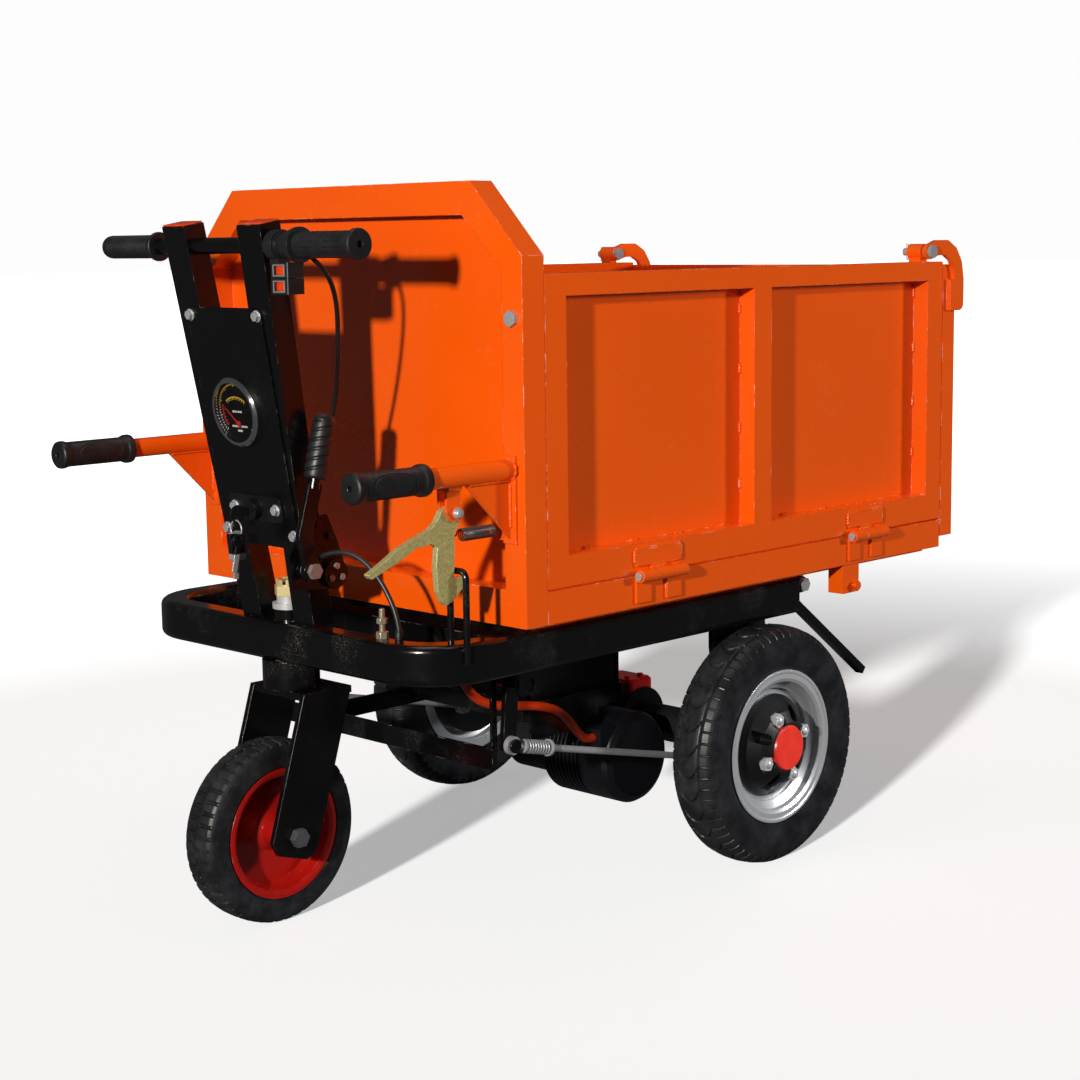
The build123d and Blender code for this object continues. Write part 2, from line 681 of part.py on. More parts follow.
def loop(end_x, width, height, edge):
    """Bent bar that follows the chassis loop."""
    corners = [(end_x, -rail_mid, loop_z), (bow_mid, -rail_mid, loop_z)]
    corners += [(bow_mid, rail_mid, loop_z), (end_x, rail_mid, loop_z)]
    path = FilletPolyline(*corners, radius=BOW_RADIUS - RAIL_WIDTH / 2)
    start = Plane(origin=(end_x, -rail_mid, loop_z), x_dir=(0, 1, 0), z_dir=(-1, 0, 0))
    return sweep(start * RectangleRounded(width, height, edge), path=path)


frame = loop(RAIL_REAR, RAIL_WIDTH, RAIL_HEIGHT, RAIL_EDGE)
frame -= loop(
    RAIL_REAR - RAIL_WALL, RAIL_WIDTH - 2 * RAIL_WALL, RAIL_HEIGHT - 2 * RAIL_WALL, RAIL_EDGE - RAIL_WALL
)
cross_top = RAIL_TOP - 9
cross_bottom = cross_top - CROSS_HEIGHT
for middle in CROSS_X:
    front = middle - CROSS_WIDTH / 2
    rear = middle + CROSS_WIDTH / 2
    member = block(front, rear, -RAIL_INNER - 1, RAIL_INNER + 1, cross_bottom, cross_top)
    member -= block(
        front + RAIL_WALL, rear - RAIL_WALL, 3 - RAIL_INNER, RAIL_INNER - 3,
        cross_bottom + RAIL_WALL, cross_top - RAIL_WALL,
    )
    frame += member
frame += rod_z(KINGPIN_X, 0, NECK_BOTTOM, RAIL_BOTTOM + 1, NECK_RADIUS)
frame += rod_z(KINGPIN_X, 0, NECK_BOTTOM, HOUSING_TOP, HOUSING_RADIUS)
frame -= rod_z(KINGPIN_X, 0, NECK_BOTTOM - 5, HOUSING_TOP + 5, KINGPIN_RADIUS + RUNNING)
plate_outline = [
    (-62, RAIL_TOP - 14), (62, RAIL_TOP - 14), (62, AXLE_Z + 150), (36, AXLE_Z - 36),
    (-36, AXLE_Z - 36), (-62, AXLE_Z + 150),
]
axle_plate = plate_xz(plate_outline, -AXLE_PLATE_Y, AXLE_PLATE_THICK + 1 - AXLE_PLATE_Y)
axle_plate -= rod_y(0, -AXLE_PLATE_Y - 1, 0, AXLE_Z, AXLE_TUBE_RADIUS + SEAT)
hanger_outline = [
    (BRAKE_SHAFT_X - 25, RAIL_TOP - 14), (BRAKE_SHAFT_X + 25, RAIL_TOP - 14),
    (BRAKE_SHAFT_X + 18, BRAKE_SHAFT_Z - 14), (BRAKE_SHAFT_X - 18, BRAKE_SHAFT_Z - 14),
]
hanger = plate_xz(hanger_outline, -RAIL_INNER - 1, -RAIL_INNER + 7)
hanger -= rod_y(BRAKE_SHAFT_X, -400, 0, BRAKE_SHAFT_Z, BRAKE_SHAFT_RADIUS + RUNNING)
ear_middle = (BEARER_IN + BEARER_OUT) / 2 + 3
ear_inner = ear_middle - HOPPER_EAR / 2 - 1
ear_outer = ear_middle + HOPPER_EAR / 2 + 1
side = axle_plate + hanger
for low, high in ((ear_outer, ear_outer + 8), (ear_inner - 8, ear_inner)):
    ear = block(RAIL_REAR - 5, PIVOT_X, -high, -low, PIVOT_Z - EAR_RADIUS, PIVOT_Z + EAR_RADIUS)
    ear += rod_y(PIVOT_X, -high, -low, PIVOT_Z, EAR_RADIUS)
    side += ear - rod_y(PIVOT_X, -400, 0, PIVOT_Z, PIVOT_BOLT + RUNNING)
stop_start = Vector(RAIL_REAR - 4, 0, RAIL_TOP - 33)
stop_way = (Vector(STOP_END_X, 0, STOP_END_Z) - stop_start).normalized()
stop_side = Vector(-stop_way.Z, 0, stop_way.X) * (STOP_THICK / 2)
stop_end = Vector(STOP_END_X, 0, STOP_END_Z)
stop_corners = [stop_start + stop_side, stop_end + stop_side, stop_end - stop_side, stop_start - stop_side]
side += plate_xz([(p.X, p.Z) for p in stop_corners], -BEARER_OUT, STOP_WIDTH - BEARER_OUT)
frame += side
frame += mirror(side, about=Plane.XZ)
tray_under = TRAY_FLOOR - TRAY_SHEET
bar_bottom = TRAY_FLOOR - TRAY_BAR
tray = block(TRAY_FRONT, TRAY_REAR, -TRAY_HALF, TRAY_HALF, tray_under, TRAY_FLOOR + TRAY_LIP)
tray -= block(
    TRAY_FRONT + TRAY_SHEET, TRAY_REAR - TRAY_SHEET, TRAY_SHEET - TRAY_HALF, TRAY_HALF - TRAY_SHEET,
    TRAY_FLOOR, TRAY_FLOOR + TRAY_LIP + 1,
)
motor_front = MOTOR_X - MOTOR_RADIUS
tray += block(TRAY_FRONT, motor_front + 20, -TRAY_HALF, TRAY_WALL - TRAY_HALF, bar_bottom, tray_under + 1)
tray += block(GUARD_X, TRAY_REAR, TRAY_HALF - TRAY_WALL, TRAY_HALF, bar_bottom, tray_under + 1)
guard_front = GUARD_X - TRAY_WALL / 2
guard_rear = GUARD_X + TRAY_WALL / 2
tray += block(guard_front, guard_rear, -GUARD_HALF, GUARD_HALF, bar_bottom, TRAY_FLOOR)
for side_sign in (-1, 1):
    y0, y1 = sorted((side_sign * (TRAY_HALF - 40), side_sign * (TRAY_HALF - 10)))
    tray += block(TRAY_FRONT - TRAY_WALL, TRAY_FRONT + 1, y0, y1, tray_under, cross_bottom + 1)
    tray += block(TRAY_REAR - 1, TRAY_REAR + TRAY_WALL, y0, y1, tray_under, cross_bottom + 1)
    y0, y1 = sorted((side_sign * (GUARD_HALF - TRAY_WALL), side_sign * GUARD_HALF))
    tray += block(guard_front, guard_rear + 6, y0, y1, bar_bottom, cross_bottom + 1)
frame += tray
bend_y = RAIL_HALF - BOW_RADIUS
bend_x = BOW_X + BOW_RADIUS
hoop_outer = -(bend_y + math.sqrt(BOW_RADIUS ** 2 - (bend_x - HOOP_X) ** 2) + HOOP_RADIUS - 0.3)
hoop_path = FilletPolyline(
    (HOOP_X, hoop_outer, RAIL_TOP - 24), (HOOP_X, hoop_outer, HOOP_Z),
    (HOOP_X, HOOP_INNER_Y, HOOP_Z), (HOOP_X, HOOP_INNER_Y, RAIL_TOP - 1), radius=10,
)
frame += sweep(Plane(origin=hoop_path @ 0, z_dir=hoop_path % 0) * Circle(HOOP_RADIUS), path=hoop_path)
parts["chassis_frame"] = frame

# batteries in the tray, controller under the cross members in front of them
battery_front = (TRAY_FRONT + TRAY_REAR - BATTERY_LENGTH) / 2
cells = []
for index in range(BATTERY_COUNT):
    low = (index - BATTERY_COUNT / 2) * (BATTERY_WIDTH + 0.4)
    cell = block(
        battery_front, battery_front + BATTERY_LENGTH, low, low + BATTERY_WIDTH,
        TRAY_FLOOR, TRAY_FLOOR + BATTERY_HEIGHT,
    )
    for end in (12, BATTERY_LENGTH - 12):
        cell += rod_z(
            battery_front + end, low + BATTERY_WIDTH / 2,
            TRAY_FLOOR + BATTERY_HEIGHT - 1, TRAY_FLOOR + BATTERY_HEIGHT + 6, 5,
        )
    cells.append(cell)
parts["batteries"] = Compound(children=cells)
controller_bottom = cross_bottom - CONTROLLER_HEIGHT
controller = block(
    CONTROLLER_FRONT, CONTROLLER_REAR, -CONTROLLER_HALF, CONTROLLER_HALF, controller_bottom, cross_bottom - 1,
)
for index in range(9):
    slot = 22 * (index - 4) - 6
    controller -= block(
        CONTROLLER_FRONT - 1, CONTROLLER_REAR + 1, slot, slot + 12,
        controller_bottom - 1, controller_bottom + 10,
    )
controller += block(
    CROSS_X[0] - 15, CROSS_X[1] + 5, -CONTROLLER_HALF, CONTROLLER_HALF, cross_bottom - 3, cross_bottom,
)
parts["motor_controller"] = controller

# caster
leg_top = Vector((CROWN_FRONT + CROWN_REAR) / 2, 0, CROWN_TOP)
leg_foot = Vector(FRONT_X, 0, FRONT_RADIUS)
leg_way = (leg_foot - leg_top).normalized()
leg_side = Vector(-leg_way.Z, 0, leg_way.X)
leg_corners = [
    leg_foot + leg_side * across + leg_way * along
    for across, along in (
        (LEG_HALF, LEG_END - LEG_CUT), (LEG_HALF - LEG_CUT, LEG_END),
        (LEG_CUT - LEG_HALF, LEG_END), (-LEG_HALF, LEG_END - LEG_CUT),
    )
]
leg_outline = [(CROWN_FRONT, CROWN_TOP), (CROWN_REAR, CROWN_TOP)] + [(p.X, p.Z) for p in leg_corners]
leg = plate_xz(leg_outline, -FORK_HALF, FORK_THICK - FORK_HALF)
fork = block(CROWN_FRONT, CROWN_REAR, -FORK_HALF, FORK_HALF, CROWN_TOP - CROWN_THICK, CROWN_TOP)
fork += leg
fork += mirror(leg, about=Plane.XZ)
nut_seat = HOUSING_TOP + 0.3
nut_foot = nut_seat + 18
fork += rod_z(KINGPIN_X, 0, CROWN_TOP - 1, nut_foot + 20, KINGPIN_RADIUS)
fork -= rod_y(FRONT_X, -100, 100, FRONT_RADIUS, FRONT_BOLT_RADIUS + SEAT)
parts["caster_fork"] = fork
washer = rod_z(KINGPIN_X, 0, nut_seat, nut_seat + 8, 23)
washer += rod_z(KINGPIN_X, 0, nut_seat + 8, nut_foot, 17)
washer -= rod_z(KINGPIN_X, 0, nut_seat - 1, nut_foot + 1, KINGPIN_RADIUS + SEAT)
nut = Pos(KINGPIN_X, 0, nut_foot) * hexagon(36, 14)
nut += rod_z(KINGPIN_X, 0, nut_foot + 13, nut_foot + 23, 17)
nut -= rod_z(KINGPIN_X, 0, nut_foot - 1, nut_foot + 30, KINGPIN_RADIUS + SEAT)
for index in range(3):
    slot = Pos(KINGPIN_X, 0, nut_foot + 20) * Rot(0, 0, 30 + 60 * index)
    nut -= slot * Box(50, 5, 8)
parts["kingpin_nut"] = Compound(children=[washer, nut])
bolt_head = FORK_HALF + 10
axle_bolt = rod_y(FRONT_X, -FORK_HALF - 1, bolt_head + 4, FRONT_RADIUS, FRONT_BOLT_RADIUS)
axle_bolt += Pos(FRONT_X, -FORK_HALF, FRONT_RADIUS) * Rot(90, 0, 0) * hexagon(24, 10)
axle_bolt += Pos(FRONT_X, bolt_head, FRONT_RADIUS) * Rot(90, 0, 0) * hexagon(24, 10)
parts["front_axle_bolt"] = axle_bolt
lip = FRONT_HALF_WIDTH - RIM_LIP
front_tyre = [
    (lip - 0.3, FRONT_SEAT_RADIUS + 0.3),
    (lip - 0.3, FRONT_RIM_RADIUS + 0.5),
    (FRONT_HALF_WIDTH, FRONT_RIM_RADIUS + 3),
    (FRONT_HALF_WIDTH, FRONT_RADIUS - 16),
    (FRONT_HALF_WIDTH - 2.5, FRONT_RADIUS - 7),
    (FRONT_HALF_WIDTH - 8, FRONT_RADIUS - 2),
    (FRONT_HALF_WIDTH - 18, FRONT_RADIUS - 0.4),
]
front_place = Pos(FRONT_X, 0, FRONT_RADIUS) * Rot(0, 0, -90)
tyre_ring = front_tyre + [(0, FRONT_RADIUS)] + [(-t, r) for t, r in reversed(front_tyre)]
parts["front_tyre"] = front_place * turned(tyre_ring)
hub_half = FORK_HALF - FORK_THICK - 0.5
rim_side = [
    (2.5, FRONT_SEAT_RADIUS - 9),
    (12, FRONT_SEAT_RADIUS - 4),
    (FRONT_HALF_WIDTH - 3, FRONT_SEAT_RADIUS - 3),
    (FRONT_HALF_WIDTH, FRONT_SEAT_RADIUS + 2),
    (FRONT_HALF_WIDTH, FRONT_RIM_RADIUS),
    (lip, FRONT_RIM_RADIUS),
    (lip, FRONT_SEAT_RADIUS),
]
hub_side = [
    (hub_half, FRONT_BOLT_RADIUS + RUNNING),
    (hub_half, FRONT_HUB_RADIUS - 6),
    (FRONT_HALF_WIDTH - 4, FRONT_HUB_RADIUS),
    (8, FRONT_HUB_RADIUS),
    (2.5, FRONT_HUB_RADIUS + 8),
]
front_rim = hub_side + rim_side
front_rim = front_rim + [(-t, r) for t, r in reversed(front_rim)]
parts["front_rim"] = front_place * turned(front_rim)

# steering column
rise = (COLUMN_TOP - RAIL_TOP) / math.cos(LEAN)
spread_in = (CHANNEL_TOP_IN - CHANNEL_FOOT_IN) / rise
spread_out = (CHANNEL_TOP_OUT - CHANNEL_FOOT_OUT) / rise
low_v = -12.0


def channel_prism(inset, top, depth_front, depth_rear):
    """Tapered prism of one channel, drawn in by the wall where it is hollow."""
    outline = [
        (CHANNEL_FOOT_IN + spread_in * low_v + inset, low_v),
        (CHANNEL_FOOT_OUT + spread_out * low_v - inset, low_v),
        (CHANNEL_FOOT_OUT + spread_out * top - inset, top),
        (CHANNEL_FOOT_IN + spread_in * top + inset, top),
    ]
    face = COLUMN * Pos(0, 0, depth_front) * make_face(Polyline(*outline, close=True))
    return extrude(face, depth_rear - depth_front)


channel = channel_prism(0, rise, 0, CHANNEL_DEPTH)
channel -= channel_prism(CHANNEL_WALL, rise - CHANNEL_WALL, CHANNEL_WALL, CHANNEL_DEPTH - CHANNEL_WALL)
channel -= block(-800, -500, -200, 200, RAIL_TOP - 60, RAIL_TOP)
channel -= rod_y(BAR_X, -300, 300, BAR_Z, BAR_RADIUS + SEAT)
parts["column_channels"] = both(channel)
cover_low = (COVER_BOTTOM - RAIL_TOP) / math.cos(LEAN)
cover_high = (COVER_TOP - RAIL_TOP) / math.cos(LEAN)
cover_outline = [
    (-COVER_HALF, cover_low), (COVER_HALF, cover_low), (COVER_HALF, cover_high - 14),
    (COVER_HALF - 16, cover_high), (16 - COVER_HALF, cover_high), (-COVER_HALF, cover_high - 14),
]
cover_face = COLUMN * Pos(0, 0, -COVER_THICK) * make_face(Polyline(*cover_outline, close=True))
cover = extrude(cover_face, COVER_THICK)
cover -= on_column(0, GAUGE_Z, 0) * Cylinder(GAUGE_BODY_RADIUS + 0.2, 20)
cover -= on_column(0, LOCK_Z, 0) * Cylinder(LOCK_RADIUS + 0.2, 20)
parts["column_cover"] = cover
bolts = []
for u, height, base in (
    (-COVER_BOLT_U, COVER_TOP - 10, -COVER_THICK), (COVER_BOLT_U, COVER_TOP - 10, -COVER_THICK),
    (-COVER_BOLT_U, COVER_BOTTOM + 19, -COVER_THICK), (COVER_BOLT_U, COVER_BOTTOM + 19, -COVER_THICK),
    (-LOCK_BOLT_U, LOCK_Z, -COVER_THICK - 2), (LOCK_BOLT_U, LOCK_Z, -COVER_THICK - 2),
):
    bolt = on_column(u, height, base - 1.2) * Pos(0, 0, 0.6) * Cylinder(8, 1.2)
    bolt += on_column(u, height, base - 6) * hexagon(11, 5)
    bolts.append(bolt)
parts["cover_bolts"] = Compound(children=bolts)
case_place = on_column(0, GAUGE_Z, -(GAUGE_PROUD + COVER_THICK) / 2)
case = case_place * Cylinder(GAUGE_RADIUS, GAUGE_PROUD - COVER_THICK)
case = chamfer(case.edges().filter_by(GeomType.CIRCLE).sort_by(Axis.X)[0], 3)
case += on_column(0, GAUGE_Z, 10) * Cylinder(GAUGE_BODY_RADIUS, 2 * (10 + COVER_THICK))
case -= on_column(0, GAUGE_Z, -GAUGE_PROUD) * Cylinder(GAUGE_GLASS_RADIUS, 2 * (GAUGE_PROUD - 7))
parts["gauge_case"] = case
glass_top = 1.0 - GAUGE_PROUD
lens = on_column(0, GAUGE_Z, glass_top + 1.25) * Cylinder(GAUGE_GLASS_RADIUS - 0.05, 2.5)
parts["gauge_lens"] = lens
needle_pivot = on_column(0, GAUGE_Z - 16, -7)
needle = needle_pivot * Pos(0, 0, -1.1) * Cylinder(4, 2)
needle_blade = make_face(Polyline((1.2, -6), (0.4, 32), (-0.4, 32), (-1.2, -6), close=True))
needle += needle_pivot * Rot(0, 0, -48) * Pos(0, 0, -2.1) * extrude(needle_blade, 0.8)
parts["gauge_needle"] = needle
plate_rim = RectangleRounded(2 * LOCK_BOLT_U + 24, 36, 8)
lock = extrude(on_column(0, LOCK_Z, -COVER_THICK - 2) * plate_rim, 2)
lock += on_column(0, LOCK_Z, (20 - LOCK_PROUD) / 2) * Cylinder(LOCK_RADIUS, 20 + LOCK_PROUD)
lock -= on_column(0, LOCK_Z, -LOCK_PROUD / 2) * Cylinder(PLUG_RADIUS + RUNNING, LOCK_PROUD)
parts["ignition_lock"] = lock
key = on_column(0, LOCK_Z, -LOCK_PROUD / 2 - 0.2) * Cylinder(PLUG_RADIUS, LOCK_PROUD)
key += on_column(0, LOCK_Z, -LOCK_PROUD - 5) * Box(KEY_THICK, 8, 12)
key_head_w = -LOCK_PROUD - 8 - KEY_HEAD_RADIUS
key += on_column(0, LOCK_Z, key_head_w) * Rot(0, 90, 0) * Cylinder(KEY_HEAD_RADIUS, KEY_THICK)
ring_spot = on_column(0, LOCK_Z - 6, key_head_w - 4)
key -= ring_spot * Rot(0, 90, 0) * Cylinder(KEY_HOLE_RADIUS, 10)
parts["ignition_key"] = key
ring_drop = KEY_HOLE_RADIUS - KEY_RING_WIRE - 0.3
ring_top = (ring_spot.position.X, 0, ring_spot.position.Z - ring_drop)
ring_z = ring_top[2] - KEY_RING_RADIUS
ring = Pos(ring_top[0], 0, ring_z) * Rot(0, 90, 0) * Torus(KEY_RING_RADIUS, KEY_RING_WIRE)
hung = [ring]
key_sizes = ((3.5, FOB_WIDTH, FOB_HEIGHT, FOB_THICK), (-3, 21, 62, 2.2), (-6.5, 19, 55, 2.2))
for y, width, length, thick in key_sizes:
    edge = abs(y) + thick / 2
    hole_z = ring_z - math.sqrt((KEY_RING_RADIUS - KEY_RING_WIRE) ** 2 - edge ** 2) + 0.3 - KEY_HOLE_RADIUS
    piece = Pos(0, 0, -length / 2 + 7) * Box(width, thick, length)
    if thick < FOB_THICK:
        piece = Pos(0, 0, -4) * Rot(90, 0, 0) * Cylinder(width / 2, thick)
        piece += Pos(0, 0, -length / 2) * Box(8, thick, length - 14)
    else:
        piece = fillet(piece.edges().filter_by(Axis.Y), 5)
    piece -= Rot(90, 0, 0) * Cylinder(KEY_HOLE_RADIUS, 20)
    hung.append(Pos(ring_top[0], y, hole_z) * Rot(0, -2 * y, 0) * piece)
parts["key_ring"] = Compound(children=hung)

# handlebar with its grips and switches
bar = rod_y(BAR_X, BAR_NEAR_Y, BAR_FAR_Y, BAR_Z, BAR_RADIUS)
bar -= rod_y(BAR_X, BAR_NEAR_Y - 1, BAR_FAR_Y + 1, BAR_Z, BAR_RADIUS - 2)
parts["handlebar"] = bar


def bar_piece(points):
    """Piece turned about the handlebar from outline points of distance along Y and radius."""
    return Pos(BAR_X, 0, BAR_Z) * Rot(0, 0, 90) * turned(points)


grip_bore = BAR_RADIUS + SEAT
left_outline = [
    (LEFT_GRIP_Y, grip_bore), (LEFT_GRIP_Y, LEFT_GRIP_RADIUS + 4), (LEFT_GRIP_Y + 5, LEFT_GRIP_RADIUS + 4),
    (LEFT_GRIP_Y + 8, LEFT_GRIP_RADIUS), (BAR_FAR_Y, LEFT_GRIP_RADIUS), (BAR_FAR_Y + 6, LEFT_GRIP_RADIUS - 3),
    (BAR_FAR_Y + 6, 0), (BAR_FAR_Y + 0.2, 0), (BAR_FAR_Y + 0.2, grip_bore),
]
parts["left_grip"] = bar_piece(left_outline)
cone_start = THROTTLE_Y - COLLAR_LENGTH
cone_end = cone_start - CONE_LENGTH
housing_outline = [
    (THROTTLE_Y, grip_bore), (THROTTLE_Y, COLLAR_RADIUS), (cone_start, COLLAR_RADIUS),
    (cone_start, COLLAR_RADIUS - 2), (cone_end + 5, CONE_RADIUS), (cone_end, CONE_RADIUS),
    (cone_end, grip_bore),
]
parts["throttle_housing"] = bar_piece(housing_outline)
twist_bore = BAR_RADIUS + RUNNING
twist_start = cone_end - 0.4
twist_outline = [
    (twist_start, twist_bore), (twist_start, THROTTLE_RADIUS), (THROTTLE_END_Y + 9, THROTTLE_RADIUS),
    (THROTTLE_END_Y + 8, THROTTLE_DISC_RADIUS), (THROTTLE_END_Y + 2, THROTTLE_DISC_RADIUS),
    (THROTTLE_END_Y, THROTTLE_DISC_RADIUS - 3), (THROTTLE_END_Y, 0), (BAR_NEAR_Y - 0.4, 0),
    (BAR_NEAR_Y - 0.4, twist_bore),
]
twist = bar_piece(twist_outline)
for index in range(12):
    turn = 2 * math.pi * index / 12
    groove_x = BAR_X + (THROTTLE_RADIUS + 0.6) * math.cos(turn)
    groove_z = BAR_Z + (THROTTLE_RADIUS + 0.6) * math.sin(turn)
    twist -= rod_y(groove_x, twist_start - 8, THROTTLE_END_Y + 14, groove_z, 1.8)
parts["throttle_grip"] = twist
pod_top = BAR_Z - COLLAR_RADIUS - 5
pod_front = BAR_X - POD_DEPTH / 2
pod_rear = BAR_X + POD_DEPTH / 2
pods = rod_y(BAR_X, THROTTLE_Y - 3, THROTTLE_Y - COLLAR_LENGTH + 3, BAR_Z, COLLAR_RADIUS + 3)
pods += block(BAR_X - 9, BAR_X + 9, cone_start + 3, THROTTLE_Y - 3, pod_top - 1, BAR_Z)
pods -= rod_y(BAR_X, -200, 0, BAR_Z, COLLAR_RADIUS + SEAT)
rocker_z = []
for level in range(2):
    top = pod_top - level * (POD_HEIGHT + 0.5)
    pod = block(pod_front, pod_rear, POD_Y - POD_WIDTH / 2, POD_Y + POD_WIDTH / 2, top - POD_HEIGHT, top)
    pod = fillet(pod.edges().filter_by(Axis.Z), 3)
    middle = top - POD_HEIGHT / 2
    pod -= block(
        pod_front - 1, pod_front + 10, POD_Y - ROCKER_LENGTH / 2 - 1, POD_Y + ROCKER_LENGTH / 2 + 1,
        middle - ROCKER_HEIGHT / 2 - 0.4, middle + ROCKER_HEIGHT / 2 + 0.4,
    )
    rocker_z.append(middle)
    pods += pod
pods += block(
    BAR_X - 6, BAR_X + 6, POD_Y - 8, POD_Y + 8, pod_top - POD_HEIGHT - 1, pod_top - POD_HEIGHT + 1,
)
for middle in rocker_z:
    pods -= rod_z(pod_front + 4, POD_Y, middle - 8, middle + 8, 1 + RUNNING)
parts["switch_pods"] = pods
for name, middle in zip(("upper_rocker", "lower_rocker"), rocker_z):
    half = ROCKER_LENGTH / 2
    rocker_outline = [(-half, -3.6), (0, -2.4), (half, -3.6), (half, 2.2), (0, 3.2), (-half, 2.2)]
    face = make_face(Polyline(*[(x, y) for x, y in rocker_outline], close=True))
    rocker = extrude(Pos(0, 0, -ROCKER_HEIGHT / 2) * face, ROCKER_HEIGHT)
    rocker += Cylinder(1, ROCKER_HEIGHT + 3)
    parts[name] = Pos(pod_front + 4, POD_Y, middle) * Rot(0, 0, 90 - ROCKER_TILT) * rocker

# handbrake
plate_near = HANDBRAKE_PLATE_Y - HANDBRAKE_PLATE
bracket_outline = [
    (HANDBRAKE_X - 18, HANDBRAKE_Z - 26), (HANDBRAKE_X + 62, HANDBRAKE_Z - 34),
    (HANDBRAKE_X + 76, HANDBRAKE_Z - 12), (HANDBRAKE_X + 62, HANDBRAKE_Z + 30),
    (HANDBRAKE_X + 44, HANDBRAKE_Z + 70), (HANDBRAKE_X + 12, HANDBRAKE_Z + 66),
    (HANDBRAKE_X - 22, HANDBRAKE_Z + 20),
]
bracket = plate_xz(bracket_outline, plate_near, HANDBRAKE_PLATE_Y)
bracket += rod_y(HANDBRAKE_X + 51, plate_near - 8, HANDBRAKE_PLATE_Y, HANDBRAKE_Z - 11, 20)
for index in range(3):
    turn = math.radians(90 + 120 * index)
    bolt_x = HANDBRAKE_X + 51 + 10.5 * math.cos(turn)
    bolt_z = HANDBRAKE_Z - 11 + 10.5 * math.sin(turn)
    bracket += rod_y(bolt_x, plate_near - 11, plate_near - 7, bolt_z, 4.5)
for along, up in ((4, 30), (26, 58), (46, 40)):
    bracket += rod_y(HANDBRAKE_X + along, plate_near - 4, plate_near + 1, HANDBRAKE_Z + up, 5)
for boss_x, boss_z in ((-651.0, HANDBRAKE_Z - 17), (-656.0, HANDBRAKE_Z + 38)):
    bracket += rod_y(boss_x, HANDBRAKE_PLATE_Y - 1, -channel_out(boss_z + 8) - 0.05, boss_z, 8)
lever_near = HANDBRAKE_Y - 4
lever_far = HANDBRAKE_Y + 4
bracket += rod_y(HANDBRAKE_X, lever_far + 0.4, plate_near + 1, HANDBRAKE_Z, 11)
bracket += rod_y(HANDBRAKE_X, lever_near - 1, plate_near, HANDBRAKE_Z, HANDBRAKE_BOLT)
bolt_spot = Pos(HANDBRAKE_X, lever_near - 0.4, HANDBRAKE_Z) * Rot(90, 0, 0)
bracket += bolt_spot * hexagon(19, 7)
parts["handbrake_bracket"] = bracket
grip_low = (HANDBRAKE_X + 8, HANDBRAKE_Z + 111)
grip_high = (HANDBRAKE_X + 31, HANDBRAKE_Z + 205)
elbow = (HANDBRAKE_X - 11, HANDBRAKE_Z + 48)
handbrake = strap([(HANDBRAKE_X, HANDBRAKE_Z), elbow, grip_low], HANDLE_BAR, lever_near, lever_far)
handbrake += rod_y(HANDBRAKE_X, lever_near, lever_far, HANDBRAKE_Z, 15)
handbrake -= rod_y(HANDBRAKE_X, lever_near - 5, lever_far + 5, HANDBRAKE_Z, HANDBRAKE_BOLT + RUNNING)
grip_run = Vector(grip_high[0] - grip_low[0], 0, grip_high[1] - grip_low[1])
grip_axis = Plane(
    origin=(grip_low[0], HANDBRAKE_Y, grip_low[1]), x_dir=grip_run.normalized(), z_dir=(0, -1, 0)
)
handbrake += grip_axis * rod_x(-2, grip_run.length - 8, 0, 0, HANDLE_CORE)
core_gap = HANDLE_BAR / 2 + 0.3
parts["handbrake_lever"] = handbrake
rib = (grip_run.length - core_gap - 14) / HANDLE_RIBS
handle_outline = [(core_gap, HANDLE_CORE + SEAT), (core_gap, HANDLE_RADIUS + 2)]
for index in range(HANDLE_RIBS):
    base = core_gap + 4 + index * rib
    handle_outline += [
        (base, HANDLE_RADIUS + 2), (base + 1, HANDLE_RADIUS), (base + rib - 3, HANDLE_RADIUS),
        (base + rib - 2, HANDLE_RADIUS + 2),
    ]
tip = grip_run.length
handle_outline += [
    (tip - 6, HANDLE_RADIUS + 2), (tip - 1, HANDLE_RADIUS), (tip + 2, HANDLE_RADIUS - 6), (tip + 2, 0),
    (tip - 8 + 0.2, 0), (tip - 8 + 0.2, HANDLE_CORE + SEAT),
]
parts["handbrake_grip"] = grip_axis * turned(handle_outline)

# cords that run between housings
cable_end = (-632.0, -228.0, RAIL_TOP + 12)
cable_route = [
    (-668.0, plate_near - 6, HANDBRAKE_Z + 12), (-665.0, plate_near - 21, HANDBRAKE_Z + 19),
    (-660.0, plate_near - 41, HANDBRAKE_Z + 25), (-652.0, plate_near - 62, HANDBRAKE_Z + 24),
    (-644.0, plate_near - 83, HANDBRAKE_Z + 12), (-638.0, plate_near - 102, HANDBRAKE_Z - 9),
    (-634.0, plate_near - 117, HANDBRAKE_Z - 34), (-632.0, plate_near - 127, HANDBRAKE_Z - 56),
    cable_end,
]
cable = cord(cable_route, CABLE_RADIUS, "brake cable")
cable_stop = rod_y(-668, plate_near - 6.1, plate_near, HANDBRAKE_Z + 12, CABLE_RADIUS + 2)
socket = rod_z(cable_end[0], cable_end[1], RAIL_TOP, cable_end[2], CABLE_RADIUS + 2.5)
adjuster = rod_z(ADJUSTER_X, ADJUSTER_Y, RAIL_TOP, RAIL_TOP + ADJUSTER_HEIGHT, 4)
adjuster += Pos(ADJUSTER_X, ADJUSTER_Y, RAIL_TOP) * hexagon(15, 9)
adjuster += Pos(ADJUSTER_X, ADJUSTER_Y, RAIL_TOP + ADJUSTER_HEIGHT / 2) * hexagon(13, 7)
parts["brake_cable"] = Compound(children=[cable + cable_stop + socket, adjuster])
lead_out = CONE_RADIUS + 0.3
lead_stop = on_column(-80, 626, CHANNEL_DEPTH + 5).position
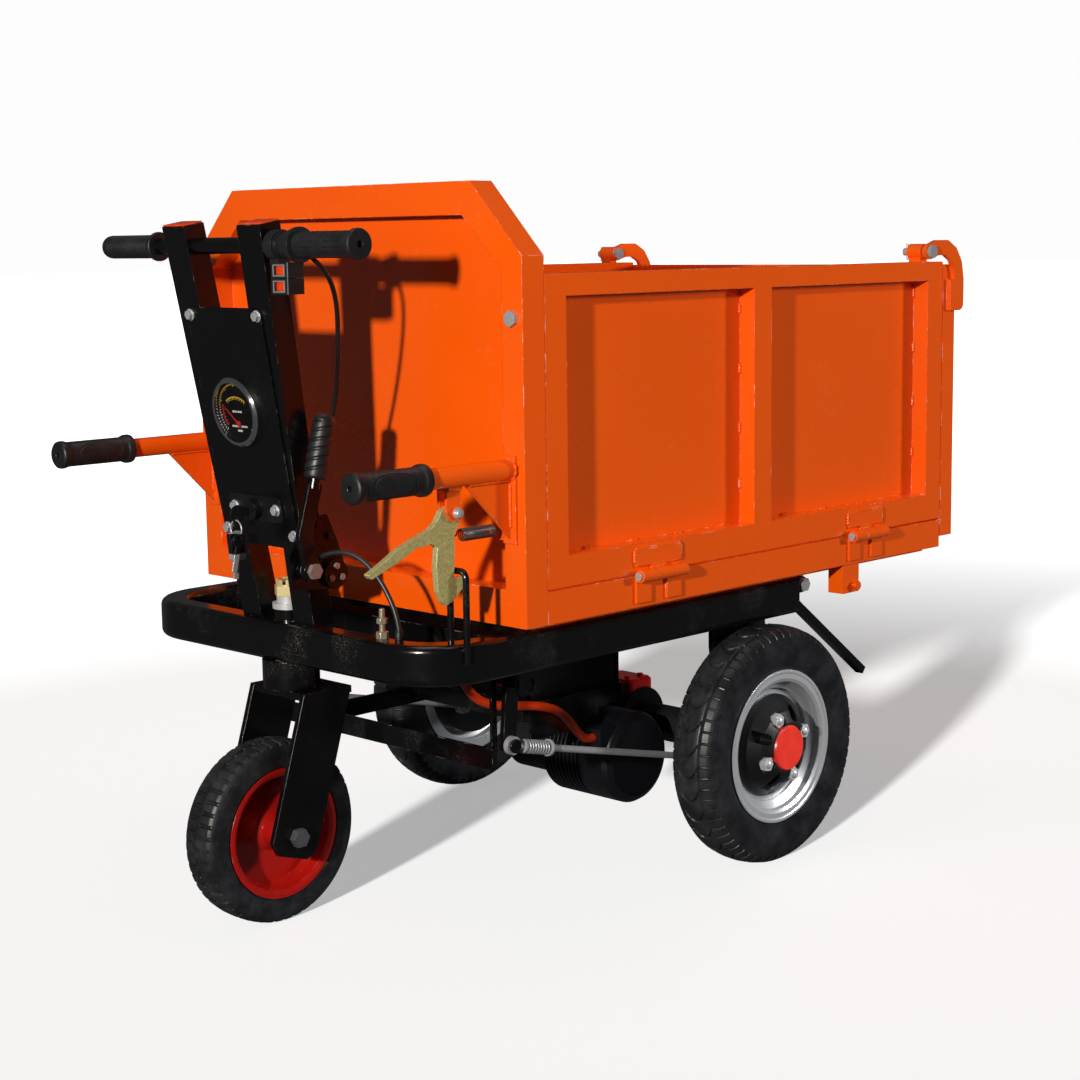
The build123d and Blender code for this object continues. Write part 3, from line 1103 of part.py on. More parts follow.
lead_route = [
    (BAR_X + lead_out * 0.82, cone_end + 8, BAR_Z - lead_out * 0.57), (BAR_X + 36, cone_end + 8, BAR_Z - 25),
    (BAR_X + 51, cone_end + 9, BAR_Z - 41), (BAR_X + 63, cone_end + 12, BAR_Z - 62),
    (BAR_X + 71, cone_end + 17, BAR_Z - 90), (BAR_X + 77, cone_end + 25, BAR_Z - 122),
    (BAR_X + 85, cone_end + 36, BAR_Z - 157), (BAR_X + 92, cone_end + 49, BAR_Z - 194),
    (BAR_X + 95, cone_end + 63, BAR_Z - 232), (BAR_X + 91, cone_end + 76, BAR_Z - 271),
    (lead_stop.X, lead_stop.Y, lead_stop.Z),
]
lead = cord(lead_route, LEAD_RADIUS, "throttle lead")
clip = on_column(-80, 620, CHANNEL_DEPTH + SEAT + 5) * Box(12, 16, 10)
parts["throttle_lead"] = lead + clip
conduit_y = -190.0
conduit_end = (MOTOR_X - MOTOR_RADIUS - 6.4, MOTOR_NEAR_Y + 23, MOTOR_Z + 42)
conduit_route = [
    (-490.0, conduit_y, cross_bottom - 0.6), (-489.0, conduit_y, cross_bottom - 26),
    (-479.0, conduit_y - 2, cross_bottom - 53), (-455.0, conduit_y - 4, cross_bottom - 75),
    (-420.0, conduit_y - 6, cross_bottom - 87), (-379.0, conduit_y - 7, cross_bottom - 93),
    (-336.0, conduit_y - 5, cross_bottom - 101), (-297.0, conduit_y, cross_bottom - 115),
    (-265.0, conduit_y + 8, cross_bottom - 138), (-240.0, MOTOR_NEAR_Y + 20, cross_bottom - 161),
    (-221.0, MOTOR_NEAR_Y + 23, MOTOR_Z + 42), conduit_end,
]
parts["motor_conduit"] = cord(conduit_route, CONDUIT_RADIUS, "motor conduit")

# hopper floor with side strips, bearers, pivot ears and the rear lug
wall_rear = WALL_FRONT + WALL_DEPTH
bearer_bottom = RAIL_TOP + REST_GAP
floor = block(wall_rear, HOPPER_REAR, -HOPPER_HALF, HOPPER_HALF, FLOOR_BOTTOM, FLOOR_BOTTOM + FLOOR_THICK)
for side_sign in (-1, 1):
    y0, y1 = sorted((side_sign * HOPPER_HALF, side_sign * (HOPPER_HALF - STRIP_THICK)))
    floor += block(wall_rear, HOPPER_REAR, y0, y1, HOPPER_BOTTOM, STRIP_TOP)
    y0, y1 = sorted((side_sign * BEARER_IN, side_sign * BEARER_OUT))
    bearer = block(wall_rear, HOPPER_REAR, y0, y1, bearer_bottom, FLOOR_BOTTOM + 1)
    bearer -= block(
        wall_rear + 3, HOPPER_REAR - 3, y0 + 3, y1 - 3, bearer_bottom + 3, FLOOR_BOTTOM - 0.5,
    )
    floor += bearer
    y0, y1 = sorted((side_sign * (ear_middle - HOPPER_EAR / 2), side_sign * (ear_middle + HOPPER_EAR / 2)))
    ear = block(PIVOT_X - 14, PIVOT_X + 14, y0, y1, PIVOT_Z, bearer_bottom + 1)
    ear += rod_y(PIVOT_X, y0, y1, PIVOT_Z, 14)
    floor += ear - rod_y(PIVOT_X, y0 - 5, y1 + 5, PIVOT_Z, PIVOT_BOLT + SEAT)
    for start, end in HINGE_SPANS:
        third = (end - start) / 3
        axis_y = side_sign * HINGE_Y
        for low, high in ((start, start + third - 0.5), (end - third + 0.5, end)):
            knuckle = rod_x(low, high, axis_y, HINGE_Z, HINGE_RADIUS)
            y0, y1 = sorted((side_sign * (HOPPER_HALF - 1), side_sign * (HOPPER_HALF + 4)))
            knuckle += block(low, high, y0, y1, HOPPER_BOTTOM + 6, HINGE_Z - 4)
            y0, y1 = sorted((side_sign * (HOPPER_HALF + 4), axis_y))
            knuckle += block(low, high, y0 - 0.5, y1 + 0.5, HINGE_Z - HINGE_RADIUS, HINGE_Z - 5)
            floor += knuckle
        floor -= rod_x(start - 1, end + 1, axis_y, HINGE_Z, HINGE_PIN + SEAT)
floor += block(-260, -230, -BEARER_IN, BEARER_IN, FLOOR_BOTTOM - 14, FLOOR_BOTTOM)
floor += block(HOPPER_REAR - 5, HOPPER_REAR, -HOPPER_HALF, HOPPER_HALF, HOPPER_BOTTOM, FLOOR_BOTTOM)
lug_near = -HOPPER_HALF + 1
lug = block(LUG_FRONT, LUG_REAR, lug_near, lug_near + 6, LUG_BOTTOM, FLOOR_BOTTOM + 1)
lug += block(LUG_FRONT, LUG_FRONT + 6, lug_near, lug_near + LUG_WIDTH, LUG_BOTTOM, FLOOR_BOTTOM + 1)
lug += rod_y(LUG_REAR - 13, lug_near - 6, lug_near + 11, LUG_BOTTOM + 11, 4)
lug += rod_y(LUG_REAR - 13, lug_near - 9, lug_near - 5, LUG_BOTTOM + 11, 7)
floor += lug
parts["hopper_floor"] = floor
pins = []
for side_sign in (-1, 1):
    for start, end in HINGE_SPANS:
        pin = rod_x(start - 2, end + 2, side_sign * HINGE_Y, HINGE_Z, HINGE_PIN)
        pin += rod_x(start - 4, start - 0.3, side_sign * HINGE_Y, HINGE_Z, HINGE_PIN + 2)
        pins.append(pin)
parts["panel_hinge_pins"] = Compound(children=pins)

# front wall: a tray of folded sheet with its bands on the operator's side
shoulder_y = HOPPER_HALF - WALL_CHAMFER_Y
shoulder_z = WALL_TOP - WALL_CHAMFER_Z


def wall_outline(half, bottom, top, corner_y, corner_z):
    """Outline of the wall with both upper corners cut off."""
    return [
        (-half, bottom), (half, bottom), (half, corner_z),
        (corner_y, top), (-corner_y, top), (-half, corner_z),
    ]


whole = wall_outline(HOPPER_HALF, HOPPER_BOTTOM, WALL_TOP, shoulder_y, shoulder_z)
wall = plate_yz(whole, WALL_FRONT, wall_rear)
hollow = wall_outline(
    HOPPER_HALF - WALL_SHEET, HOPPER_BOTTOM + WALL_SHEET, WALL_TOP - WALL_SHEET,
    shoulder_y - 1.3, shoulder_z - 1.3,
)
wall -= plate_yz(hollow, WALL_FRONT + WALL_SHEET, wall_rear - WALL_SHEET)
window_bottom = HOPPER_BOTTOM + BAND_BOTTOM
window_top = WALL_TOP - BAND_TOP
window_half = HOPPER_HALF - BAND_SIDE
corner_y = shoulder_y - BAND_SIDE * 0.42
corner_z = shoulder_z - BAND_SIDE * 0.42
window = wall_outline(window_half, window_bottom, window_top, corner_y, corner_z)
wall -= plate_yz(window, WALL_FRONT - 1, WALL_FRONT + WALL_SHEET + 1)
wall += block(
    WALL_FRONT, wall_rear, -corner_y - WALL_SHEET, corner_y + WALL_SHEET, window_top, window_top + WALL_SHEET,
)
wall += block(
    WALL_FRONT, wall_rear, -window_half - WALL_SHEET, window_half + WALL_SHEET,
    window_bottom - WALL_SHEET, window_bottom,
)
slant = math.hypot(window_half - corner_y, window_top - corner_z)
out_y = (window_top - corner_z) / slant * WALL_SHEET
out_z = (window_half - corner_y) / slant * WALL_SHEET
for side_sign in (-1, 1):
    y0, y1 = sorted((side_sign * window_half, side_sign * (window_half + WALL_SHEET)))
    wall += block(WALL_FRONT, wall_rear, y0, y1, window_bottom - 1, corner_z + WALL_SHEET / 2)
    slanted = [
        (side_sign * window_half, corner_z), (side_sign * corner_y, window_top),
        (side_sign * (corner_y + out_y), window_top + out_z),
        (side_sign * (window_half + out_y), corner_z + out_z),
    ]
    wall += plate_yz(slanted, WALL_FRONT, wall_rear)
    bolt_y = side_sign * PANEL_BOLT_Y
    wall += rod_x(WALL_FRONT + 1, wall_rear - 1, bolt_y, PANEL_BOLT_Z, PIVOT_BOLT + 4)
    wall -= rod_x(WALL_FRONT - 1, wall_rear + 1, bolt_y, PANEL_BOLT_Z, PIVOT_BOLT + SEAT)
parts["front_wall"] = wall

# tip handles, latch bracket and grips
handles = []
grips = []
for side_sign in (-1, 1):
    y = side_sign * HANDLE_Y
    tube_end = HANDLE_END_X + 9
    handle = rod_x(tube_end, WALL_FRONT, y, HANDLE_Z, HANDLE_TUBE)
    handle += block(WALL_FRONT - 4, WALL_FRONT, y - 12, y + 12, HANDLE_Z - 98, HANDLE_Z + 18)
    gusset = [
        (WALL_FRONT - 84, HANDLE_Z - 12), (WALL_FRONT - 3, HANDLE_Z - 12), (WALL_FRONT - 3, HANDLE_Z - 92),
    ]
    handle += plate_xz(gusset, y - 2.5, y + 2.5)
    handle -= rod_x(tube_end - 1, WALL_FRONT - 5, y, HANDLE_Z, HANDLE_TUBE_BORE)
    if side_sign < 0:
        near = LATCH_Y - LATCH_THICK / 2
        far = LATCH_Y + LATCH_THICK / 2
        cheek = [
            (LATCH_X - 16, HANDLE_Z - HANDLE_TUBE - 1), (LATCH_X + 8, HANDLE_Z - HANDLE_TUBE - 1),
            (LATCH_X + 8, LATCH_Z - 8), (LATCH_X, LATCH_Z - 12), (LATCH_X - 8, LATCH_Z - 10),
            (LATCH_X - 16, LATCH_Z + 2),
        ]
        handle += plate_xz(cheek, near - 4.6, near - 0.6)
        handle += plate_xz(cheek, far + 0.6, far + 4.6)
        handle += block(
            LATCH_X - 16, LATCH_X + 8, min(y, near - 4.6), max(y, far + 4.6),
            HANDLE_Z - HANDLE_TUBE - 5, HANDLE_Z - HANDLE_TUBE + 1,
        )
        handle += rod_y(LATCH_X, near - 7, far + 7, LATCH_Z, LATCH_RIVET)
        handle += rod_y(LATCH_X, near - 7.5, near - 4.5, LATCH_Z, LATCH_RIVET + 2.5)
        handle += block(
            LATCH_ANCHOR_X, WALL_FRONT - 3, LATCH_Y - 4, LATCH_Y + 4, LATCH_Z - 42, LATCH_Z - 20,
        )
        handle += block(
            WALL_FRONT - 4, WALL_FRONT, min(y, LATCH_Y - 6), max(y, LATCH_Y + 6), LATCH_Z - 46, LATCH_Z - 16,
        )
        handle -= rod_x(tube_end - 1, WALL_FRONT - 5, y, HANDLE_Z, HANDLE_TUBE_BORE)
    handles.append(handle)
    grip_length = GRIP_INNER_X - HANDLE_END_X
    pitch = (grip_length - 22) / GRIP_RIBS
    outline = [(0, 0), (0, GRIP_FLANGE - 3), (2, GRIP_FLANGE), (8, GRIP_FLANGE), (10, GRIP_RADIUS)]
    for index in range(GRIP_RIBS):
        base = 12 + index * pitch
        outline += [
            (base, GRIP_RADIUS), (base + 1.5, GRIP_RADIUS + 1.2), (base + pitch - 4, GRIP_RADIUS + 1.2),
            (base + pitch - 2.5, GRIP_RADIUS),
        ]
    outline += [
        (grip_length - 8, GRIP_RADIUS), (grip_length - 6, GRIP_FLANGE), (grip_length, GRIP_FLANGE),
        (grip_length, HANDLE_TUBE + SEAT), (8.8, HANDLE_TUBE + SEAT), (8.8, 0),
    ]
    grips.append(Pos(HANDLE_END_X, y, HANDLE_Z) * turned(outline))
parts["tip_handles"] = Compound(children=handles)
parts["handle_grips"] = Compound(children=grips)
lever_outline = [
    (12, -2), (9, -17), (0, -26), (0, -60), (-2, -85), (20, -85), (21.6, -92), (-3.6, -114), (-16, -119),
    (-22, -113), (-29, -99), (-32, -67), (-29, -41), (-40, -36), (-67, -39), (-94, -52),
    (-140, -69), (-146, -63),
    (-121, -51), (-94, -36), (-58, -23), (-40, -17), (-29, -9), (-21, 4), (-10, 9), (3, 11), (10, 7),
]
lever_points = [(LATCH_X + x, LATCH_Z + z) for x, z in lever_outline]
latch = plate_xz(lever_points, LATCH_Y - LATCH_THICK / 2, LATCH_Y + LATCH_THICK / 2)
latch = fillet(latch.edges().filter_by(Axis.Y), 1.5)
latch -= rod_y(LATCH_X, -400, 0, LATCH_Z, LATCH_RIVET + RUNNING)
parts["latch_lever"] = latch
spring_z = LATCH_Z - 31
tail_length = 3.0
spring_from = LATCH_X + 0.4
spring_to = LATCH_ANCHOR_X - 0.4
wound = spring_to - spring_from - 2 * (tail_length + 1.6 * LATCH_SPRING_RADIUS)
latch_spring = coil_spring(
    LATCH_SPRING_RADIUS, LATCH_SPRING_WIRE, wound, LATCH_SPRING_COILS, tail_length, "latch spring"
)
spring_start = spring_from + tail_length + 1.6 * LATCH_SPRING_RADIUS
parts["latch_spring"] = Pos(spring_start, LATCH_Y, spring_z) * latch_spring

# bolts of the hopper: two on the tipping axis, two that hold the panels against the wall
hopper_bolts = []
for side_sign in (-1, 1):
    y0 = side_sign * (ear_inner - 8)
    y1 = side_sign * (ear_outer + 8)
    bolt = rod_y(PIVOT_X, y0 - side_sign * 3, y1 + side_sign * 1, PIVOT_Z, PIVOT_BOLT)
    head = Pos(PIVOT_X, y1 + side_sign * 0.3, PIVOT_Z) * Rot(90 * -side_sign, 0, 0)
    bolt += head * hexagon(19, 7)
    hopper_bolts.append(bolt)
    bolt = rod_x(WALL_FRONT - 1, wall_rear, side_sign * PANEL_BOLT_Y, PANEL_BOLT_Z, PIVOT_BOLT)
    bolt += Pos(WALL_FRONT, side_sign * PANEL_BOLT_Y, PANEL_BOLT_Z) * Rot(0, -90, 0) * hexagon(19, 7)
    hopper_bolts.append(bolt)
parts["hopper_bolts"] = Compound(children=hopper_bolts)

# side panels: tube frames with a skin on the inside
panel_front = wall_rear + PANEL_GAP
panel_out = -HOPPER_HALF
panel_in = panel_out + PANEL_DEPTH
stiles = (
    (panel_front, panel_front + PANEL_STILE),
    (PANEL_MID_X - PANEL_STILE / 2, PANEL_MID_X + PANEL_STILE / 2),
    (HOPPER_REAR - PANEL_STILE, HOPPER_REAR),
)
panel = block(panel_front, HOPPER_REAR, panel_out, panel_in, PANEL_BOTTOM, PANEL_TOP)
for (_, left), (right, _) in zip(stiles, stiles[1:]):
    panel -= block(
        left, right, panel_out - 1, panel_in - PANEL_SKIN,
        PANEL_BOTTOM + PANEL_BOTTOM_RAIL, PANEL_TOP - PANEL_TOP_RAIL,
    )
hollow_out = panel_out + TUBE_WALL
hollow_in = panel_in - TUBE_WALL
hollow_low = PANEL_BOTTOM + TUBE_WALL
hollow_high = PANEL_TOP - TUBE_WALL
for low, high in stiles:
    panel -= block(low + TUBE_WALL, high - TUBE_WALL, hollow_out, hollow_in, hollow_low, hollow_high)
for low, high in (
    (hollow_low, PANEL_BOTTOM + PANEL_BOTTOM_RAIL - TUBE_WALL),
    (PANEL_TOP - PANEL_TOP_RAIL + TUBE_WALL, hollow_high),
):
    panel -= block(panel_front + TUBE_WALL, HOPPER_REAR - TUBE_WALL, hollow_out, hollow_in, low, high)
for start, end in HINGE_SPANS:
    third = (end - start) / 3
    low = start + third + 0.1
    high = end - third - 0.1
    panel += rod_x(low, high, -HINGE_Y, HINGE_Z, HINGE_RADIUS)
    panel += block(low, high, -HINGE_Y - 0.5, panel_out + 1, HINGE_Z + 5, HINGE_Z + HINGE_RADIUS)
    panel += block(low, high, panel_out - 4, panel_out + 1, HINGE_Z + 5, HINGE_Z + 36)
    panel += block(start, end, panel_out - 4, panel_out + 1, HINGE_Z + 13, HINGE_Z + 36)
    panel -= rod_x(start - 1, end + 1, -HINGE_Y, HINGE_Z, HINGE_PIN + RUNNING)
panel_left = mirror(panel, about=Plane.XZ)
near_tube = (-HOPPER_HALF + 3, -HOPPER_HALF + 29)
far_tube = (HOPPER_HALF - 25, HOPPER_HALF - 1)
tubed = []
for shape, (y0, y1) in ((panel, near_tube), (panel_left, far_tube)):
    saddle = block(GATE_X - 9, GATE_X + 9, y0 + 2, y1 - 2, PANEL_TOP - 1, GATE_Z - GATE_TUBE + 4)
    tube = rod_y(GATE_X, y0, y1, GATE_Z, GATE_TUBE)
    shape += saddle + tube
    shape -= rod_y(GATE_X, y0 - 1, y1 + 1, GATE_Z, GATE_PIN + 0.1)
    tubed.append(shape)
parts["side_panel_right"] = tubed[0]
parts["side_panel_left"] = tubed[1]

# tailgate on two goosenecks
gate_rear = GATE_FRONT + GATE_DEPTH
gate = block(GATE_FRONT, gate_rear, -HOPPER_HALF, HOPPER_HALF, GATE_BOTTOM, GATE_TOP)
uprights = (
    (-HOPPER_HALF, -HOPPER_HALF + PANEL_STILE),
    (-PANEL_STILE / 2, PANEL_STILE / 2),
    (HOPPER_HALF - PANEL_STILE, HOPPER_HALF),
)
for (_, left), (right, _) in zip(uprights, uprights[1:]):
    gate -= block(
        GATE_FRONT + PANEL_SKIN, gate_rear + 1, left, right,
        GATE_BOTTOM + PANEL_STILE, GATE_TOP - PANEL_STILE,
    )
gate_hollow = (GATE_FRONT + TUBE_WALL, gate_rear - TUBE_WALL)
for low, high in uprights:
    gate -= block(
        *gate_hollow, low + TUBE_WALL, high - TUBE_WALL, GATE_BOTTOM + TUBE_WALL, GATE_TOP - TUBE_WALL,
    )
for low, high in ((GATE_BOTTOM, GATE_BOTTOM + PANEL_STILE), (GATE_TOP - PANEL_STILE, GATE_TOP)):
    gate -= block(
        *gate_hollow, TUBE_WALL - HOPPER_HALF, HOPPER_HALF - TUBE_WALL, low + TUBE_WALL, high - TUBE_WALL,
    )
near_arm = (-HOPPER_HALF - ARM_THICK - 0.5, -HOPPER_HALF - 0.5)
far_arm = (HOPPER_HALF - 26 - ARM_THICK, HOPPER_HALF - 26)
arm_line = ARM_REAR - ARM_WIDTH / 2
arm_points = [
    (GATE_X, GATE_Z), (GATE_X + 20, GATE_Z + 6), (GATE_X + 46, GATE_Z + 6), (GATE_X + 65, GATE_Z - 4),
    (GATE_X + 78, GATE_Z - 22), (arm_line, GATE_Z - 46), (arm_line, GATE_Z - 83),
]
for y0, y1 in (near_arm, far_arm):
    gooseneck = strap(arm_points, ARM_WIDTH, y0, y1)
    gooseneck -= rod_y(GATE_X, y0 - 1, y1 + 1, GATE_Z, GATE_PIN + SEAT)
    if y0 < 0:
        gooseneck += block(GATE_FRONT + 8, gate_rear, y0, -HOPPER_HALF + 1, GATE_Z - 95, GATE_Z - 45)
    else:
        gooseneck += block(gate_rear - 1, arm_line, y0, y1, GATE_Z - 95, GATE_Z - 60)
    gate += gooseneck
parts["tailgate"] = gate
pins = []
for (arm_low, arm_high), (tube_low, tube_high) in ((near_arm, near_tube), (far_arm, far_tube)):
    if arm_low < 0:
        head = (arm_low - 6, arm_low)
        tip = tube_high + 12
        cotter = tube_high + 7
        pin = rod_y(GATE_X, arm_low - 1, tip, GATE_Z, GATE_PIN)
    else:
        head = (arm_low - 6, arm_low)
        tip = tube_high + 10
        cotter = tube_high + 6
        pin = rod_y(GATE_X, arm_low - 1, tip, GATE_Z, GATE_PIN)
    pin += rod_y(GATE_X, head[0], head[1], GATE_Z, GATE_PIN + 4)
    pin += rod_z(GATE_X, cotter, GATE_Z - 13, GATE_Z + 13, 1.6)
    pins.append(pin)
parts["tailgate_pins"] = Compound(children=pins)

os.makedirs("parts", exist_ok=True)
for name, shape in parts.items():
    export_step(Pos(SHIFT_X, 0, 0) * shape, f"parts/{name}.step")
print(f"{len(parts)} nodes, shift {SHIFT_X:.2f}")
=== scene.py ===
"""Looks of the electric wheelbarrow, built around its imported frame.

Lengths in the classes are millimetres in the frame's own axes: +X runs from the operator's end to the
dump end, +Y to the operator's left and +Z up from the floor.
"""

from __future__ import annotations

import logging
import math
from dataclasses import dataclass, field
from enum import Enum, IntEnum
from typing import Any, Callable, ClassVar, Iterable, Sequence

import bmesh
import bpy
from mathutils import Matrix, Vector


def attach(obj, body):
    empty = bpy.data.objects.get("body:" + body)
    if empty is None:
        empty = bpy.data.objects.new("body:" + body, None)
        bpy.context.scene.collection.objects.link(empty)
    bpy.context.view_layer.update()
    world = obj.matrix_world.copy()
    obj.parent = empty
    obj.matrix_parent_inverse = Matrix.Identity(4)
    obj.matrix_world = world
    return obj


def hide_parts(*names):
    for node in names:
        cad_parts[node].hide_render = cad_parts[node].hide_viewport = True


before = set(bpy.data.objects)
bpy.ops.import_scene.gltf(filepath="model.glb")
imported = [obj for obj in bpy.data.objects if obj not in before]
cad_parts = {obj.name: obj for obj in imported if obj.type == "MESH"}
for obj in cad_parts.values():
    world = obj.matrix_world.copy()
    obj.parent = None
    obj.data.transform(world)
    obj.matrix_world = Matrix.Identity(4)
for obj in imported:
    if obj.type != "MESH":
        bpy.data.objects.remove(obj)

LOG = logging.getLogger("wheelbarrow")
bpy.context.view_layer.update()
MM = 0.001
FULL_TURN = 2 * math.pi
COLUMN_SLOPE = 0.171
NEAR_PARALLEL = 0.9

# sockets of a Mix node that mixes colours, which share their names with those for numbers
MIX_A = 6
MIX_B = 7
MIX_OUT = 2

# most of a noise lies between these values
NOISE_LOW = 0.3
NOISE_HIGH = 0.7

Point = tuple[float, float, float]
Pair = tuple[float, float]
Outline = Sequence[Pair]


class Side(Enum):
    """The operator's right and left, with the sign of Y there."""

    RIGHT = -1
    LEFT = 1

    @property
    def word(self) -> str:
        """The side's name as the nodes end in it."""
        return self.name.lower()


class Print(IntEnum):
    """Inks of the gauge's dial, in the order of its material numbers."""

    BLACK = 0
    YELLOW = 1
    RED = 2
    WHITE = 3


def linear(code: str) -> tuple[float, float, float, float]:
    """Turns an sRGB hex colour into linear light.

    Args:
        code: Six hex digits after a hash sign.

    Returns:
        Red, green, blue and an alpha of one.
    """
    parts = []
    for start in (1, 3, 5):
        value = int(code[start:start + 2], 16) / 255
        parts.append(value / 12.92 if value <= 0.04045 else ((value + 0.055) / 1.055) ** 2.4)
    return parts[0], parts[1], parts[2], 1.0


def per_size(size_mm: float) -> float:
    """Pattern scale whose features are about this size in millimetres."""
    return 1.0 / (size_mm * MM)


def add_node(
    tree: bpy.types.NodeTree, kind: str, inputs: dict[str | int, Any] | None = None, **settings: Any
) -> bpy.types.ShaderNode:
    """Adds one shader node, sets it and links it.

    Args:
        tree: The material's node tree.
        kind: Blender's name of the node's class, without its first part, ShaderNode.
        inputs: Values, or sockets to link, by the input's name or number.
        settings: The node's own settings by name.

    Returns:
        The new node.
    """
    node = tree.nodes.new(f"ShaderNode{kind}")
    for name, value in settings.items():
        setattr(node, name, value)
    for key, value in (inputs or {}).items():
        if isinstance(value, bpy.types.NodeSocket):
            tree.links.new(value, node.inputs[key])
        else:
            node.inputs[key].default_value = value
    return node


class Finish:
    """A surface finish that makes its material once and keeps it."""

    name: str
    _made: ClassVar[dict[str, bpy.types.Material]] = {}

    def material(self) -> bpy.types.Material:
        """Makes the finish's material on first use and keeps it.

        Returns:
            The material.
        """
        if self.name not in Finish._made:
            made = bpy.data.materials.new(self.name)
            made.use_nodes = True
            made.node_tree.nodes.clear()
            shader = self.shade(made.node_tree)
            add_node(made.node_tree, "OutputMaterial", {"Surface": shader.outputs[0]})
            Finish._made[self.name] = made
        return Finish._made[self.name]

    def shade(self, tree: bpy.types.NodeTree) -> bpy.types.ShaderNode:
        """Builds the nodes and returns the shader node."""
        raise NotImplementedError

    def worn_edge(
        self, tree: bpy.types.NodeTree, rounded: bpy.types.NodeSocket, start: float, full: float, most: float
    ) -> bpy.types.NodeSocket:
        """Finds the edges, where the rounded normal leaves the face's own.

        Args:
            tree: The material's node tree.
            rounded: The rounded normal.
            start: Cosine between the two normals where wear starts.
            full: Cosine where wear is full.
            most: The share of wear there.

        Returns:
            The share of wear.
        """
        plain = add_node(tree, "NewGeometry").outputs["Normal"]
        along = add_node(tree, "VectorMath", {0: rounded, 1: plain}, operation="DOT_PRODUCT")
        edge = add_node(
            tree, "MapRange",
            {"Value": along.outputs["Value"], "From Min": start, "From Max": full, "To Max": most},
        )
        return edge.outputs[0]


@dataclass(frozen=True)
class PowderCoat(Finish):
    """Sprayed and baked polyester powder on steel.

    The eye sees a thick, even film with a faint orange-peel ripple, edges rounded by the film, pale chips
    along the edges that get knocked, and scuffs in patches.
    """

    name: str
    colour: str
    shade_colour: str
    chip_colour: str
    gloss: float = 0.34
    shine: float = 0.3
    coat: float = 0.0
    # orange peel is about a millimetre wide; it is drawn coarser so that it shows
    peel_mm: float = 3.0
    edge_mm: float = 1.6
    chips: float = 0.35
    scuff_colour: str = "#8B8781"
    scuffs: float = 0.0
    speck_mm: float = 9.0
    metal: float = 0.0
    cloud_mm: float = 220.0
    knock_mm: float = 26.0
    patch_mm: float = 75.0
    # where chips, scuffed patches and the specks in them start, and where they are full
    chip_edge: Pair = (0.97, 0.86)
    chip_noise: Pair = (0.54, 0.62)
    scuff_noise: Pair = (0.52, 0.68)
    speck_noise: Pair = (0.54, 0.70)
    gloss_span: Pair = (0.05, 0.07)
    chip_dull: float = 0.35
    coat_gloss: float = 0.09
    peel_bump: float = 0.22
    peel_high_mm: float = 0.05

    def shade(self, tree: bpy.types.NodeTree) -> bpy.types.ShaderNode:
        """Builds the film's colour, gloss, ripple, chips and scuffs.

        Args:
            tree: The material's node tree.

        Returns:
            The shader node.
        """
        place = add_node(tree, "TexCoord").outputs["Object"]
        cloud, knocks, patches, specks, peel = (
            add_node(
                tree, "TexNoise",
                {"Vector": place, "Scale": per_size(size), "Detail": detail, "Roughness": rough},
            ).outputs["Fac"]
            for size, detail, rough in (
                (self.cloud_mm, 3.0, 0.5), (self.knock_mm, 6.0, 0.68), (self.patch_mm, 4.0, 0.6),
                (self.speck_mm, 4.0, 0.7), (self.peel_mm, 1.0, 0.5),
            )
        )
        film = add_node(
            tree, "Mix", {"Factor": cloud, MIX_A: linear(self.colour), MIX_B: linear(self.shade_colour)},
            data_type="RGBA",
        )
        rounded = add_node(tree, "Bevel", {"Radius": self.edge_mm * MM}, samples=4).outputs[0]
        edge = self.worn_edge(tree, rounded, *self.chip_edge, most=1.0)
        struck, handled, rubbed = (
            add_node(
                tree, "MapRange", {"Value": noise, "From Min": low, "From Max": high, "To Max": most}
            ).outputs[0]
            for noise, (low, high), most in (
                (knocks, self.chip_noise, self.chips), (patches, self.scuff_noise, self.scuffs),
                (specks, self.speck_noise, 1.0),
            )
        )
        chip = add_node(tree, "Math", {0: edge, 1: struck}, operation="MULTIPLY").outputs[0]
        bare = add_node(
            tree, "Mix", {"Factor": chip, MIX_A: film.outputs[MIX_OUT], MIX_B: linear(self.chip_colour)},
            data_type="RGBA",
        )
        scuff = add_node(tree, "Math", {0: handled, 1: rubbed}, operation="MULTIPLY")
        top = add_node(
            tree, "Mix",
            {"Factor": scuff.outputs[0], MIX_A: bare.outputs[MIX_OUT], MIX_B: linear(self.scuff_colour)},
            data_type="RGBA",
        )
        gloss = add_node(
            tree, "MapRange",
            {
                "Value": patches, "From Min": NOISE_LOW, "From Max": NOISE_HIGH,
                "To Min": self.gloss - self.gloss_span[0], "To Max": self.gloss + self.gloss_span[1],
            },
        )
        worn = add_node(
            tree, "Math", {0: chip, 1: self.chip_dull, 2: gloss.outputs[0]}, operation="MULTIPLY_ADD"
        )
        ripple = add_node(
            tree, "Bump",
            {
                "Strength": self.peel_bump, "Distance": self.peel_high_mm * MM, "Height": peel,
                "Normal": rounded,
            },
        )
        return add_node(
            tree, "BsdfPrincipled",
            {
                "Base Color": top.outputs[MIX_OUT], "Roughness": worn.outputs[0], "Metallic": self.metal,
                "Specular IOR Level": self.shine, "Coat Weight": self.coat,
                "Coat Roughness": self.coat_gloss, "Normal": ripple.outputs[0],
                "Coat Normal": ripple.outputs[0],
            },
        )


